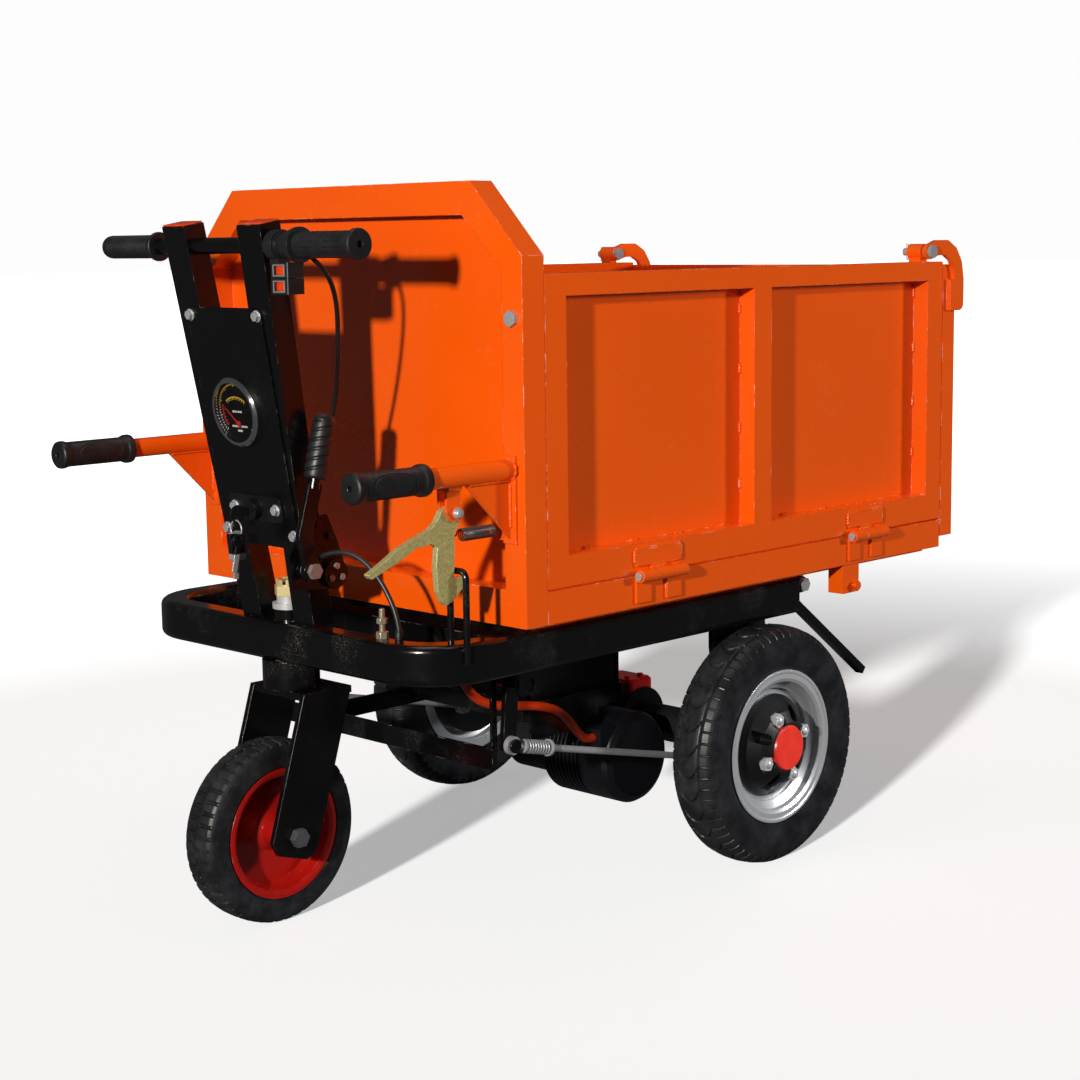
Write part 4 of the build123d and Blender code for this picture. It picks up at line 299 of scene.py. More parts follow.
@dataclass(frozen=True)
class Skin(Finish):
    """A surface that clouds from one colour to another and has a fine grain and rounded edges that may wear.

    A noise is given by its size, and by its detail and roughness.
    """

    name: str
    colour: str
    cloud_colour: str
    rough: float = 0.5
    rough_span: Pair = (0.1, 0.1)
    rough_by_grain: bool = False
    metal: float = 0.0
    ior: float = 1.5
    shine: float = 0.5
    cloud_mm: float = 30.0
    cloud_noise: Pair = (3.0, 0.5)
    cloud_span: Pair = (0.0, 1.0)
    clouding: float = 1.0
    grain_mm: float = 1.0
    grain_noise: Pair = (1.0, 0.5)
    bump: float = 0.2
    bump_mm: float = 0.05
    edge_mm: float = 0.0
    worn_colour: str = "#E9E8E4"
    worn: float = 0.0
    worn_from: Pair = (0.98, 0.88)

    def shade(self, tree: bpy.types.NodeTree) -> bpy.types.ShaderNode:
        """Builds the clouded colour, the gloss, the grain and the edges.

        Args:
            tree: The material's node tree.

        Returns:
            The shader node.
        """
        place = add_node(tree, "TexCoord").outputs["Object"]
        cloud, grain = (
            add_node(
                tree, "TexNoise",
                {"Vector": place, "Scale": per_size(size), "Detail": detail, "Roughness": rough},
            ).outputs["Fac"]
            for size, (detail, rough) in (
                (self.cloud_mm, self.cloud_noise), (self.grain_mm, self.grain_noise)
            )
        )
        amount = add_node(
            tree, "MapRange",
            {
                "Value": cloud, "From Min": self.cloud_span[0], "From Max": self.cloud_span[1],
                "To Max": self.clouding,
            },
        )
        colour = add_node(
            tree, "Mix",
            {"Factor": amount.outputs[0], MIX_A: linear(self.colour), MIX_B: linear(self.cloud_colour)},
            data_type="RGBA",
        ).outputs[MIX_OUT]
        rough = add_node(
            tree, "MapRange",
            {
                "Value": grain if self.rough_by_grain else cloud,
                "From Min": NOISE_LOW, "From Max": NOISE_HIGH,
                "To Min": self.rough - self.rough_span[0], "To Max": self.rough + self.rough_span[1],
            },
        )
        skin = add_node(
            tree, "Bump", {"Strength": self.bump, "Distance": self.bump_mm * MM, "Height": grain}
        )
        if self.edge_mm:
            rounded = add_node(tree, "Bevel", {"Radius": self.edge_mm * MM}, samples=4).outputs[0]
            tree.links.new(rounded, skin.inputs["Normal"])
            if self.worn:
                edge = self.worn_edge(tree, rounded, *self.worn_from, most=self.worn)
                colour = add_node(
                    tree, "Mix", {"Factor": edge, MIX_A: colour, MIX_B: linear(self.worn_colour)},
                    data_type="RGBA",
                ).outputs[MIX_OUT]
        return add_node(
            tree, "BsdfPrincipled",
            {
                "Base Color": colour, "Metallic": self.metal, "Roughness": rough.outputs[0], "IOR": self.ior,
                "Specular IOR Level": self.shine, "Normal": skin.outputs[0],
            },
        )


@dataclass(frozen=True)
class ZincPlate(Skin):
    """Electroplated zinc on steel, clear or yellow passivated.

    The eye sees a soft metal shine that clouds from patch to patch, with fine rub marks and bright edges.
    """

    rough: float = 0.32
    rough_span: Pair = (0.08, 0.14)
    rough_by_grain: bool = True
    metal: float = 0.75
    cloud_mm: float = 14.0
    cloud_noise: Pair = (4.0, 0.62)
    # rub marks are hair-fine; they are drawn coarser so that they show
    grain_mm: float = 2.5
    grain_noise: Pair = (5.0, 0.7)
    bump: float = 0.15
    bump_mm: float = 0.03
    edge_mm: float = 0.6


@dataclass(frozen=True)
class MouldedRubber(Skin):
    """Vulcanised rubber from a steel mould.

    The eye sees a deep grey-black that is nearly matt, with pale dust in its grain.
    """

    rough: float = 0.62
    rough_span: Pair = (0.1, 0.14)
    ior: float = 1.52
    shine: float = 0.4
    cloud_mm: float = 38.0
    cloud_noise: Pair = (7.0, 0.7)
    cloud_span: Pair = (0.42, 0.75)
    clouding: float = 0.35
    # the mould's grain is finer than a pixel; it is drawn coarser so that it shows
    grain_mm: float = 1.4
    grain_noise: Pair = (2.0, 0.5)
    bump: float = 0.3
    bump_mm: float = 0.12


@dataclass(frozen=True)
class MouldedPlastic(Skin):
    """Injection-moulded plastic.

    The eye sees an even colour with a fine spark-eroded grain and slightly rounded edges.
    """

    rough: float = 0.42
    rough_span: Pair = (0.06, 0.08)
    shine: float = 0.4
    # spark-eroded grain is finer than a pixel; it is drawn coarser so that it shows
    grain_mm: float = 0.9
    edge_mm: float = 0.5


@dataclass(frozen=True)
class SandCasting(Skin):
    """Metal cast in sand or in a die, bare or with a thin coat of paint.

    The eye sees a dull, pitted skin that clouds at random from one tone to another.
    """

    rough: float = 0.55
    rough_span: Pair = (0.1, 0.12)
    rough_by_grain: bool = True
    shine: float = 0.35
    cloud_mm: float = 45.0
    cloud_noise: Pair = (4.0, 0.5)
    grain_mm: float = 3.5
    grain_noise: Pair = (5.0, 0.6)
    bump: float = 0.4
    bump_mm: float = 0.2
    edge_mm: float = 1.5


@dataclass(frozen=True)
class Polish(Finish):
    """A smooth surface of one colour, with faint marks in its gloss."""

    name: str
    colour: str
    metal: float = 0.0
    film: float = 1.0
    rough_span: Pair = (0.02, 0.09)
    mark_mm: float = 18.0
    mark_detail: float = 3.0

    def shade(self, tree: bpy.types.NodeTree) -> bpy.types.ShaderNode:
        """Builds the gloss and its marks.

        Args:
            tree: The material's node tree.

        Returns:
            The shader node.
        """
        place = add_node(tree, "TexCoord").outputs["Object"]
        marks = add_node(
            tree, "TexNoise", {"Vector": place, "Scale": per_size(self.mark_mm), "Detail": self.mark_detail}
        )
        rough = add_node(
            tree, "MapRange",
            {
                "Value": marks.outputs["Fac"], "From Min": NOISE_LOW, "From Max": NOISE_HIGH,
                "To Min": self.rough_span[0], "To Max": self.rough_span[1],
            },
        )
        return add_node(
            tree, "BsdfPrincipled",
            {
                "Base Color": linear(self.colour), "Metallic": self.metal, "Roughness": rough.outputs[0],
                "Alpha": self.film,
            },
        )


@dataclass(frozen=True)
class PolishedChrome(Polish):
    """Chrome on a polished ring.

    The eye sees a bright mirror with faint finger smears.
    """

    metal: float = 1.0
    rough_span: Pair = (0.06, 0.18)
    mark_mm: float = 12.0
    mark_detail: float = 4.0


@dataclass(frozen=True)
class WindowGlass(Polish):
    """Flat pressed glass.

    The eye sees the dial through it, a thin reflection and faint wiping marks on it.
    """

    film: float = 0.10


@dataclass(frozen=True)
class Coating:
    """One of the two surfaces of a piece in two tones."""

    colour: str
    metal: float
    rough: float


@dataclass(frozen=True)
class TwoTone(Finish):
    """A piece of two metals or enamels, parted by the distance from a plane, line or point.

    The eye sees a clean edge between the two, a fine cast or rubbed grain, and clouded gloss.
    """

    name: str
    near: Coating
    far: Coating
    centre: Point
    axes: Point
    reach: float
    blur_mm: float = 0.2
    grain_mm: float = 2.2
    grain_dull: float = 0.12
    bump: float = 0.25
    bump_mm: float = 0.08
    cloud_mm: float = 16.0
    cloud_span: Pair = (0.86, 1.0)
    edge_mm: float = 1.0
    shine: float = 0.4

    def shade(self, tree: bpy.types.NodeTree) -> bpy.types.ShaderNode:
        """Builds both surfaces by their distance along the chosen axes.

        Args:
            tree: The material's node tree.

        Returns:
            The shader node.
        """
        place = add_node(tree, "TexCoord").outputs["Object"]
        flat = add_node(tree, "VectorMath", {0: place, 1: self.axes}, operation="MULTIPLY")
        middle = [c * axis * MM for c, axis in zip(self.centre, self.axes)]
        away = add_node(tree, "VectorMath", {0: flat.outputs[0], 1: middle}, operation="DISTANCE")
        share = add_node(
            tree, "MapRange",
            {
                "Value": away.outputs["Value"], "From Min": (self.reach - self.blur_mm) * MM,
                "From Max": (self.reach + self.blur_mm) * MM,
            },
        ).outputs[0]
        tone = add_node(
            tree, "Mix", {"Factor": share, MIX_A: linear(self.near.colour), MIX_B: linear(self.far.colour)},
            data_type="RGBA",
        )
        grain, cloud = (
            add_node(
                tree, "TexNoise",
                {"Vector": place, "Scale": per_size(size), "Detail": 3.0, "Roughness": rough},
            ).outputs["Fac"]
            for size, rough in ((self.grain_mm, 0.6), (self.cloud_mm, 0.5))
        )
        dulled = add_node(
            tree, "MapRange",
            {
                "Value": cloud, "From Min": NOISE_LOW, "From Max": NOISE_HIGH,
                "To Min": self.cloud_span[0], "To Max": self.cloud_span[1],
            },
        )
        clouded = add_node(
            tree, "VectorMath", {0: tone.outputs[MIX_OUT], "Scale": dulled.outputs[0]}, operation="SCALE"
        )
        rough = add_node(
            tree, "MapRange", {"Value": share, "To Min": self.near.rough, "To Max": self.far.rough}
        )
        spread = add_node(
            tree, "Math", {0: grain, 1: self.grain_dull, 2: rough.outputs[0]}, operation="MULTIPLY_ADD"
        )
        rounded = add_node(tree, "Bevel", {"Radius": self.edge_mm * MM}, samples=4)
        skin = add_node(
            tree, "Bump",
            {
                "Strength": self.bump, "Distance": self.bump_mm * MM, "Height": grain,
                "Normal": rounded.outputs[0],
            },
        )
        shader = add_node(
            tree, "BsdfPrincipled",
            {
                "Base Color": clouded.outputs[0], "Metallic": self.near.metal,
                "Roughness": spread.outputs[0], "Specular IOR Level": self.shine, "Normal": skin.outputs[0],
            },
        )
        if self.far.metal != self.near.metal:
            metal = add_node(
                tree, "MapRange", {"Value": share, "To Min": self.near.metal, "To Max": self.far.metal}
            )
            tree.links.new(metal.outputs[0], shader.inputs["Metallic"])
        return shader


@dataclass(frozen=True)
class StudioPaper(Finish):
    """Seamless white paper, lit more evenly the farther it lies from the object.

    The eye sees an even matt white that runs into the white surround without a line.
    """

    name: str
    colour: str
    given_colour: str
    rough: float = 0.9
    glow: float = 0.40
    far_glow: float = 1.0
    glow_from: float = 1500.0
    glow_to: float = 3200.0

    def shade(self, tree: bpy.types.NodeTree) -> bpy.types.ShaderNode:
        """Builds the paper's matt white and its even light; little of it falls back on the object.

        Args:
            tree: The material's node tree.

        Returns:
            The shader node.
        """
        place = add_node(tree, "TexCoord").outputs["Object"]
        looked_at = add_node(tree, "LightPath").outputs["Is Camera Ray"]
        tone = add_node(
            tree, "Mix", {"Factor": looked_at, MIX_A: linear(self.given_colour), MIX_B: linear(self.colour)},
            data_type="RGBA",
        )
        away = add_node(tree, "VectorMath", {0: place}, operation="LENGTH")
        glow = add_node(
            tree, "MapRange",
            {
                "Value": away.outputs["Value"],
                "From Min": self.glow_from * MM, "From Max": self.glow_to * MM,
                "To Min": self.glow, "To Max": self.far_glow,
            },
        )
        seen = add_node(tree, "Math", {0: glow.outputs[0], 1: looked_at}, operation="MULTIPLY")
        return add_node(
            tree, "BsdfPrincipled",
            {
                "Base Color": tone.outputs[MIX_OUT], "Roughness": self.rough, "Specular IOR Level": 0.0,
                "Emission Color": linear("#FFFFFF"), "Emission Strength": seen.outputs[0],
            },
        )


# baked orange powder on pressed sheet: a deep gloss, pale chips on knocked edges, faint rubbed patches
ORANGE = PowderCoat(
    "orange_powder_coat", "#EA5906", "#E25104", "#F0D6C4", gloss=0.24, shine=0.5, coat=0.25, chips=0.9,
    edge_mm=2.0, scuff_colour="#F0A27A", scuffs=0.10,
)
# sprayed orange paint on the column's caps: redder and a little duller than the powder
CAP_ORANGE = PowderCoat("cap_orange_paint", "#D8420C", "#C73A0A", "#E7C3A8", gloss=0.3, shine=0.4, chips=0.5)
# baked black powder on tube and plate: near black with a tight shine and grey chips
BLACK = PowderCoat(
    "black_powder_coat", "#060607", "#090909", "#8E8A84", gloss=0.22, shine=0.4, chips=0.5,
    scuff_colour="#55534F", scuffs=0.05,
)
# the same powder rubbed in use: pale hair-fine scuffs in patches, drawn wider so that they show
SCUFFED_BLACK = PowderCoat(
    "scuffed_black_powder_coat", "#060607", "#090909", "#B9B6B0", gloss=0.2, shine=0.5, chips=0.7,
    scuff_colour="#B4B2AE", scuffs=0.32, speck_mm=1.6,
)
# stove enamel: a dark red under a clear gloss
RED = PowderCoat("red_enamel", "#A5140E", "#94100B", "#D8A090", gloss=0.26, shine=0.5, coat=0.2, chips=0.4)
# aluminium-flake paint on pressed rims: a soft metal sheen, greyed by grit
SILVER = PowderCoat(
    "silver_wheel_paint", "#C4C6C9", "#A9ACB0", "#77797B", gloss=0.30, shine=0.5, chips=0.4,
    scuff_colour="#707274", scuffs=0.4, metal=0.65,
)
# clear zinc on bolts, pins and rods is pale and soft; oiled wire and blackened steel are dark and tight
CLEAR_ZINC = ZincPlate("clear_zinc", "#C6C8CB", "#9EA1A5", metal=0.5)
SPRING_STEEL = ZincPlate("oiled_spring_steel", "#5A5B5E", "#3A3B3D", rough=0.26, metal=0.5)
DARK_ZINC = ZincPlate("blackened_steel", "#6C6D72", "#4A4B4F", rough=0.34, metal=0.5)
# yellow passivated zinc: olive and straw stains, and edges worn to bright metal
YELLOW_ZINC = ZincPlate(
    "yellow_zinc", "#6E6420", "#EFE39A", rough=0.3, cloud_mm=3.2, metal=0.4, edge_mm=1.6, worn=0.85
)
# plated brass, turned: a warm pale grey
BRASS = ZincPlate("plated_brass", "#B4AA94", "#8A7E64", rough=0.3, metal=0.55)
# tyre rubber is dull with dust in patches; grip rubber is blacker and finer
TYRE = MouldedRubber("tyre_rubber", "#17181B", "#404246", rough=0.42, clouding=0.5)
GRIP = MouldedRubber("grip_rubber", "#141416", "#303134", rough=0.46, grain_mm=0.9, clouding=0.3)
# cast iron under black paint is dull and pitted, die-cast alloy a satin grey, the motor's case smoother
DARK_CAST = SandCasting("painted_casting", "#0B0C0E", "#141517", metal=0.0)
ALLOY = SandCasting("die_cast_alloy", "#6A6D71", "#505357", metal=0.5, rough=0.45)
MOTOR_PAINT = SandCasting("motor_paint", "#0A0B10", "#101218", metal=0.0, rough=0.36)
# moulded ABS: an even colour, softly shiny, glossier where hands polish it
BLACK_ABS = MouldedPlastic("black_abs", "#0A0A0C", "#101012")
SMOKE_ABS = MouldedPlastic("smoke_grey_abs", "#202123", "#17181A", rough=0.36)
POD_ABS = MouldedPlastic("switch_pod_abs", "#17181A", "#222325", rough=0.34)
FRAME_ABS = MouldedPlastic("light_grey_abs", "#7E8083", "#6C6E71", rough=0.4)
ORANGE_ABS = MouldedPlastic("orange_abs", "#D83E0E", "#C4320A", rough=0.28)
BATTERY_ABS = MouldedPlastic("battery_case_abs", "#101216", "#17191D")
# extruded PVC sheaths: smooth, with a long soft highlight
CABLE_PVC = MouldedPlastic("cable_pvc", "#0B0B0D", "#121214", rough=0.38)
BRAKE_PVC = MouldedPlastic("brake_cable_pvc", "#1A1B1D", "#262729", rough=0.36)
CONDUIT_PVC = MouldedPlastic("orange_conduit_pvc", "#C8360C", "#A92907", rough=0.36)
# screen-printed inks: flat and dull
DIAL_BLACK = MouldedPlastic("dial_print_black", "#070708", "#0B0B0C", rough=0.5, shine=0.2)
DIAL_YELLOW = MouldedPlastic("dial_print_yellow", "#D8AE3C", "#C79E30", rough=0.5)
DIAL_RED = MouldedPlastic("dial_print_red", "#C2281E", "#AE2018", rough=0.5)
DIAL_WHITE = MouldedPlastic("dial_print_white", "#D6D6D2", "#C6C6C2", rough=0.5)
# plated ring and its window: a bright mirror round a dark, clear pane
CHROME = PolishedChrome("polished_chrome", "#D9DBDD")
GLASS = WindowGlass("gauge_glass", "#0A0C0D")
# enamelled casting: a glossy red disc inside the black cover
HUB = TwoTone(
    "hub_enamel", Coating("#C42E22", 0.0, 0.24), Coating("#0B0C0E", 0.0, 0.32),
    centre=(161.5, 0.0, 181.0), axes=(1.0, 0.0, 1.0), reach=34.2,
)
# clear zinc below and straw-yellow zinc above
KINGPIN_PLATE = TwoTone(
    "kingpin_zinc", Coating("#BFC2C2", 0.3, 0.34), Coating("#CDBB88", 0.35, 0.32),
    centre=(0.0, 0.0, 440.0), axes=(0.0, 0.0, 1.0), reach=15.3,
)
# zinc bolts through a black enamelled plate; the bolts' grey is tinted red, a painted reflection of the
# orange hopper
BRACKET_BOLTS_WITH_PAINTED_REFLECTION = TwoTone(
    "bracket_enamel_and_zinc", Coating("#9A8A84", 0.4, 0.3), Coating("#060607", 0.0, 0.22),
    centre=(0.0, -126.4, 0.0), axes=(0.0, 1.0, 0.0), reach=21.2,
)
# moulded black heads on bright steel blades
KEY_PLATE = TwoTone(
    "key_heads_and_blades", Coating("#0E0E10", 0.0, 0.34), Coating("#B9BBBD", 0.5, 0.26),
    centre=(0.0, 0.0, 537.0), axes=(0.0, 0.0, 1.0), reach=14.0,
)
# studio paper: an even white to look at, and grey in the light that it throws back
PAPER = StudioPaper("studio_paper", "#F5F5F4", "#636363")


def dress(finish: Finish, nodes: Iterable[str]) -> None:
    """Gives nodes of the frame a finish.

    Args:
        finish: The finish that every slot of the nodes gets.
        nodes: Names of the nodes.
    """
    for name in nodes:
        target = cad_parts[name]
        if not target.material_slots:
            target.data.materials.append(finish.material())
        for slot in target.material_slots:
            slot.material = finish.material()
        LOG.info("%s wears %s", name, finish.name)


def settle(
    piece: bpy.types.Object, body: str, finishes: Sequence[Finish], replaced: Sequence[str] = ()
) -> None:
    """Finishes a new piece: materials, body and the nodes that it stands for.

    Args:
        piece: The new object, already in place.
        body: The body that it rides on.
        finishes: Its finishes in the order of its material numbers.
        replaced: Nodes of the frame that it replaces.
    """
    for finish in finishes:
        piece.data.materials.append(finish.material())
    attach(piece, body)
    if replaced:
        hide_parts(*replaced)
    LOG.info("%s rides on %s", piece.name, body)


@dataclass
class MeshPlan:
    """Points in millimetres and faces that become one piece."""

    points: list[Sequence[float]] = field(default_factory=list)
    faces: list[tuple[int, ...]] = field(default_factory=list)
    numbers: list[int] = field(default_factory=list)
    sharp_deg: float = 35.0

    def loft(self, rings: Sequence[Sequence[Vector | Point]], number: int = 0, closed: bool = False) -> None:
        """Skins a row of rings that have the same count of points.

        Args:
            rings: The rings in order.
            number: Material number of the faces.
            closed: Whether the last ring joins the first; otherwise both ends are capped.
        """
        base = len(self.points)
        count = len(rings[0])
        before = len(self.faces)
        for ring in rings:
            self.points += ring
        for step in range(len(rings) if closed else len(rings) - 1):
            here = base + step * count
            there = base + (step + 1) % len(rings) * count
            for index in range(count):
                after = (index + 1) % count
                self.faces.append((here + index, here + after, there + after, there + index))
        if not closed:
            last = base + (len(rings) - 1) * count
            self.faces.append(tuple(base + k for k in range(count)))
            self.faces.append(tuple(last + k for k in range(count)))
        self.numbers += [number] * (len(self.faces) - before)

    def piece(self, name: str, smooth: bool = True) -> bpy.types.Object:
        """Makes the mesh object.

        Args:
            name: The object's name.
            smooth: Whether the faces are shaded smooth, apart from the sharp edges.

        Returns:
            The new object, linked to the scene.
        """
        mesh = bpy.data.meshes.new(name)
        mesh.from_pydata([[c * MM for c in p] for p in self.points], [], self.faces)
        work = bmesh.new()
        work.from_mesh(mesh)
        bmesh.ops.recalc_face_normals(work, faces=work.faces)
        work.to_mesh(mesh)
        work.free()
        mesh.polygons.foreach_set("material_index", self.numbers)
        if smooth:
            mesh.polygons.foreach_set("use_smooth", [True] * len(mesh.polygons))
            mesh.set_sharp_from_angle(angle=math.radians(self.sharp_deg))
        mesh.update()
        made = bpy.data.objects.new(name, mesh)
        bpy.context.scene.collection.objects.link(made)
        return made


def wire_piece(name: str, routes: Sequence[Sequence[Point]], radius: float) -> bpy.types.Object:
    """Makes round cords or wires on smooth lines.

    Args:
        name: The object's name.
        routes: Control points of each line, in millimetres.
        radius: Radius of the cord in millimetres.

    Returns:
        The new curve object, linked to the scene.
    """
    curve = bpy.data.curves.new(name, "CURVE")
    curve.dimensions = "3D"
    curve.bevel_depth = radius * MM
    curve.bevel_resolution = 5
    curve.resolution_u = 8
    curve.use_fill_caps = True
    for route in routes:
        line = curve.splines.new("NURBS")
        line.points.add(len(route) - 1)
        for spot, place in zip(line.points, route):
            spot.co = (place[0] * MM, place[1] * MM, place[2] * MM, 1.0)
        line.order_u = 3
        line.use_endpoint_u = True
    made = bpy.data.objects.new(name, curve)
    bpy.context.scene.collection.objects.link(made)
    return made


def smooth_step(value: float) -> float:
    """Eases a share from 0 to 1 with flat ends."""
    share = min(1.0, max(0.0, value))
    return share * share * (3 - 2 * share)


def crest(phase: float) -> float:
    """Height from 0 to 1 of a wave at a phase in radians."""
    return 0.5 + 0.5 * math.cos(phase)


def groove_share(gap: float, half: float, blend: float) -> float:
    """Share of a groove's depth at a gap from its middle, with half its width and half its wall's slope."""
    return 1 - smooth_step((gap - half + blend) / (2 * blend))


def between(along: float, start: float, end: float, rise: float, fall: float) -> float:
    """Share of a relief between two ends, with the lengths over which it rises and falls there."""
    return smooth_step((along - start) / rise) * smooth_step((end - along) / fall)


def uncut(turn: float, along: float, radius: float) -> float:
    """Depth of the relief on a piece that stays as it was turned."""
    return 0.0


def hex_cut(turn: float, radius: float, flats: float) -> float:
    """Depth to cut from a round at a turn so that it becomes a hexagon of that width over its flats."""
    aside = turn % (math.pi / 3) - math.pi / 6
    return max(0.0, radius - flats / 2 / math.cos(aside))


def fill_outline(corners: Outline, step: float) -> list[Pair]:
    """Divides an outline's runs into short ones.

    Args:
        corners: The outline's corners.
        step: Longest run to leave.

    Returns:
        The divided outline.
    """
    filled = []
    for (t0, r0), (t1, r1) in zip(corners, corners[1:]):
        parts = max(1, math.ceil(math.hypot(t1 - t0, r1 - r0) / step))
        filled += [(t0 + (t1 - t0) * k / parts, r0 + (r1 - r0) * k / parts) for k in range(parts)]
    return filled + [corners[-1]]


def both_flanks(flank: Outline) -> list[Pair]:
    """A tyre's outline from one flank, which ends on the crown."""
    return [*flank, *((-t, r) for t, r in reversed(flank[:-1]))]


def level_across(axis: Vector) -> Vector:
    """Y as a direction across an axis, or X where the axis runs along Y."""
    return Vector((1, 0, 0)) if abs(axis.y) > NEAR_PARALLEL else Vector((0, 1, 0))


def column_axes() -> tuple[Vector, Vector]:
    """Directions up along the column's face and in through it."""
    lean = math.atan(COLUMN_SLOPE)
    return Vector((-math.sin(lean), 0, math.cos(lean))), Vector((math.cos(lean), 0, math.sin(lean)))


@dataclass
class TurnedRelief:
    """A moulded ring or sleeve turned about an axis, with its relief cut into its own mesh."""

    start: Point
    way: Point
    outline: Outline
    segments: int
    depth: Callable[[float, float, float], float] = uncut

    def rings(self) -> list[list[Vector]]:
        """Turns the outline about the axis and cuts the relief.

        Returns:
            One ring of the outline's points for each step of the turn.
        """
        axis = Vector(self.way).normalized()
        level = level_across(axis)
        third = level.cross(axis)
        foot = Vector(self.start)
        made = []
        for step in range(self.segments):
            turn = FULL_TURN * step / self.segments
            out = level * math.cos(turn) + third * math.sin(turn)
            made.append([foot + axis * t + out * (r - self.depth(turn, t, r)) for t, r in self.outline])
        return made

    def piece(self, name: str) -> bpy.types.Object:
        """Makes the piece.

        Args:
            name: The object's name.

        Returns:
            The new object.
        """
        plan = MeshPlan()
        plan.loft(self.rings(), closed=True)
        return plan.piece(name)


@dataclass(frozen=True)
class Lamp:
    """A square lamp: where it hangs, the point that it faces, its side, and its power in watts."""

    name: str
    place: Point
    target: Point
    side: float
    watts: float
    tint: str = "#FFFFFF"
    shadow: bool = True
    mirrored: bool = True

    def hang(self, lit: bpy.types.Collection) -> None:
        """Hangs the lamp.

        Args:
            lit: What it lights, and what it leaves out.
        """
        lamp = bpy.data.lights.new(self.name, "AREA")
        lamp.shape = "SQUARE"
        lamp.size = self.side * MM
        lamp.energy = self.watts
        lamp.color = linear(self.tint)[:3]
        lamp.use_shadow = self.shadow
        holder = bpy.data.objects.new(self.name, lamp)
        holder.location = Vector(self.place) * MM
        facing = Vector(self.target) - Vector(self.place)
        holder.rotation_euler = facing.to_track_quat("-Z", "Y").to_euler()
        holder.visible_glossy = self.mirrored
        holder.light_linking.receiver_collection = lit
        bpy.context.scene.collection.objects.link(holder)


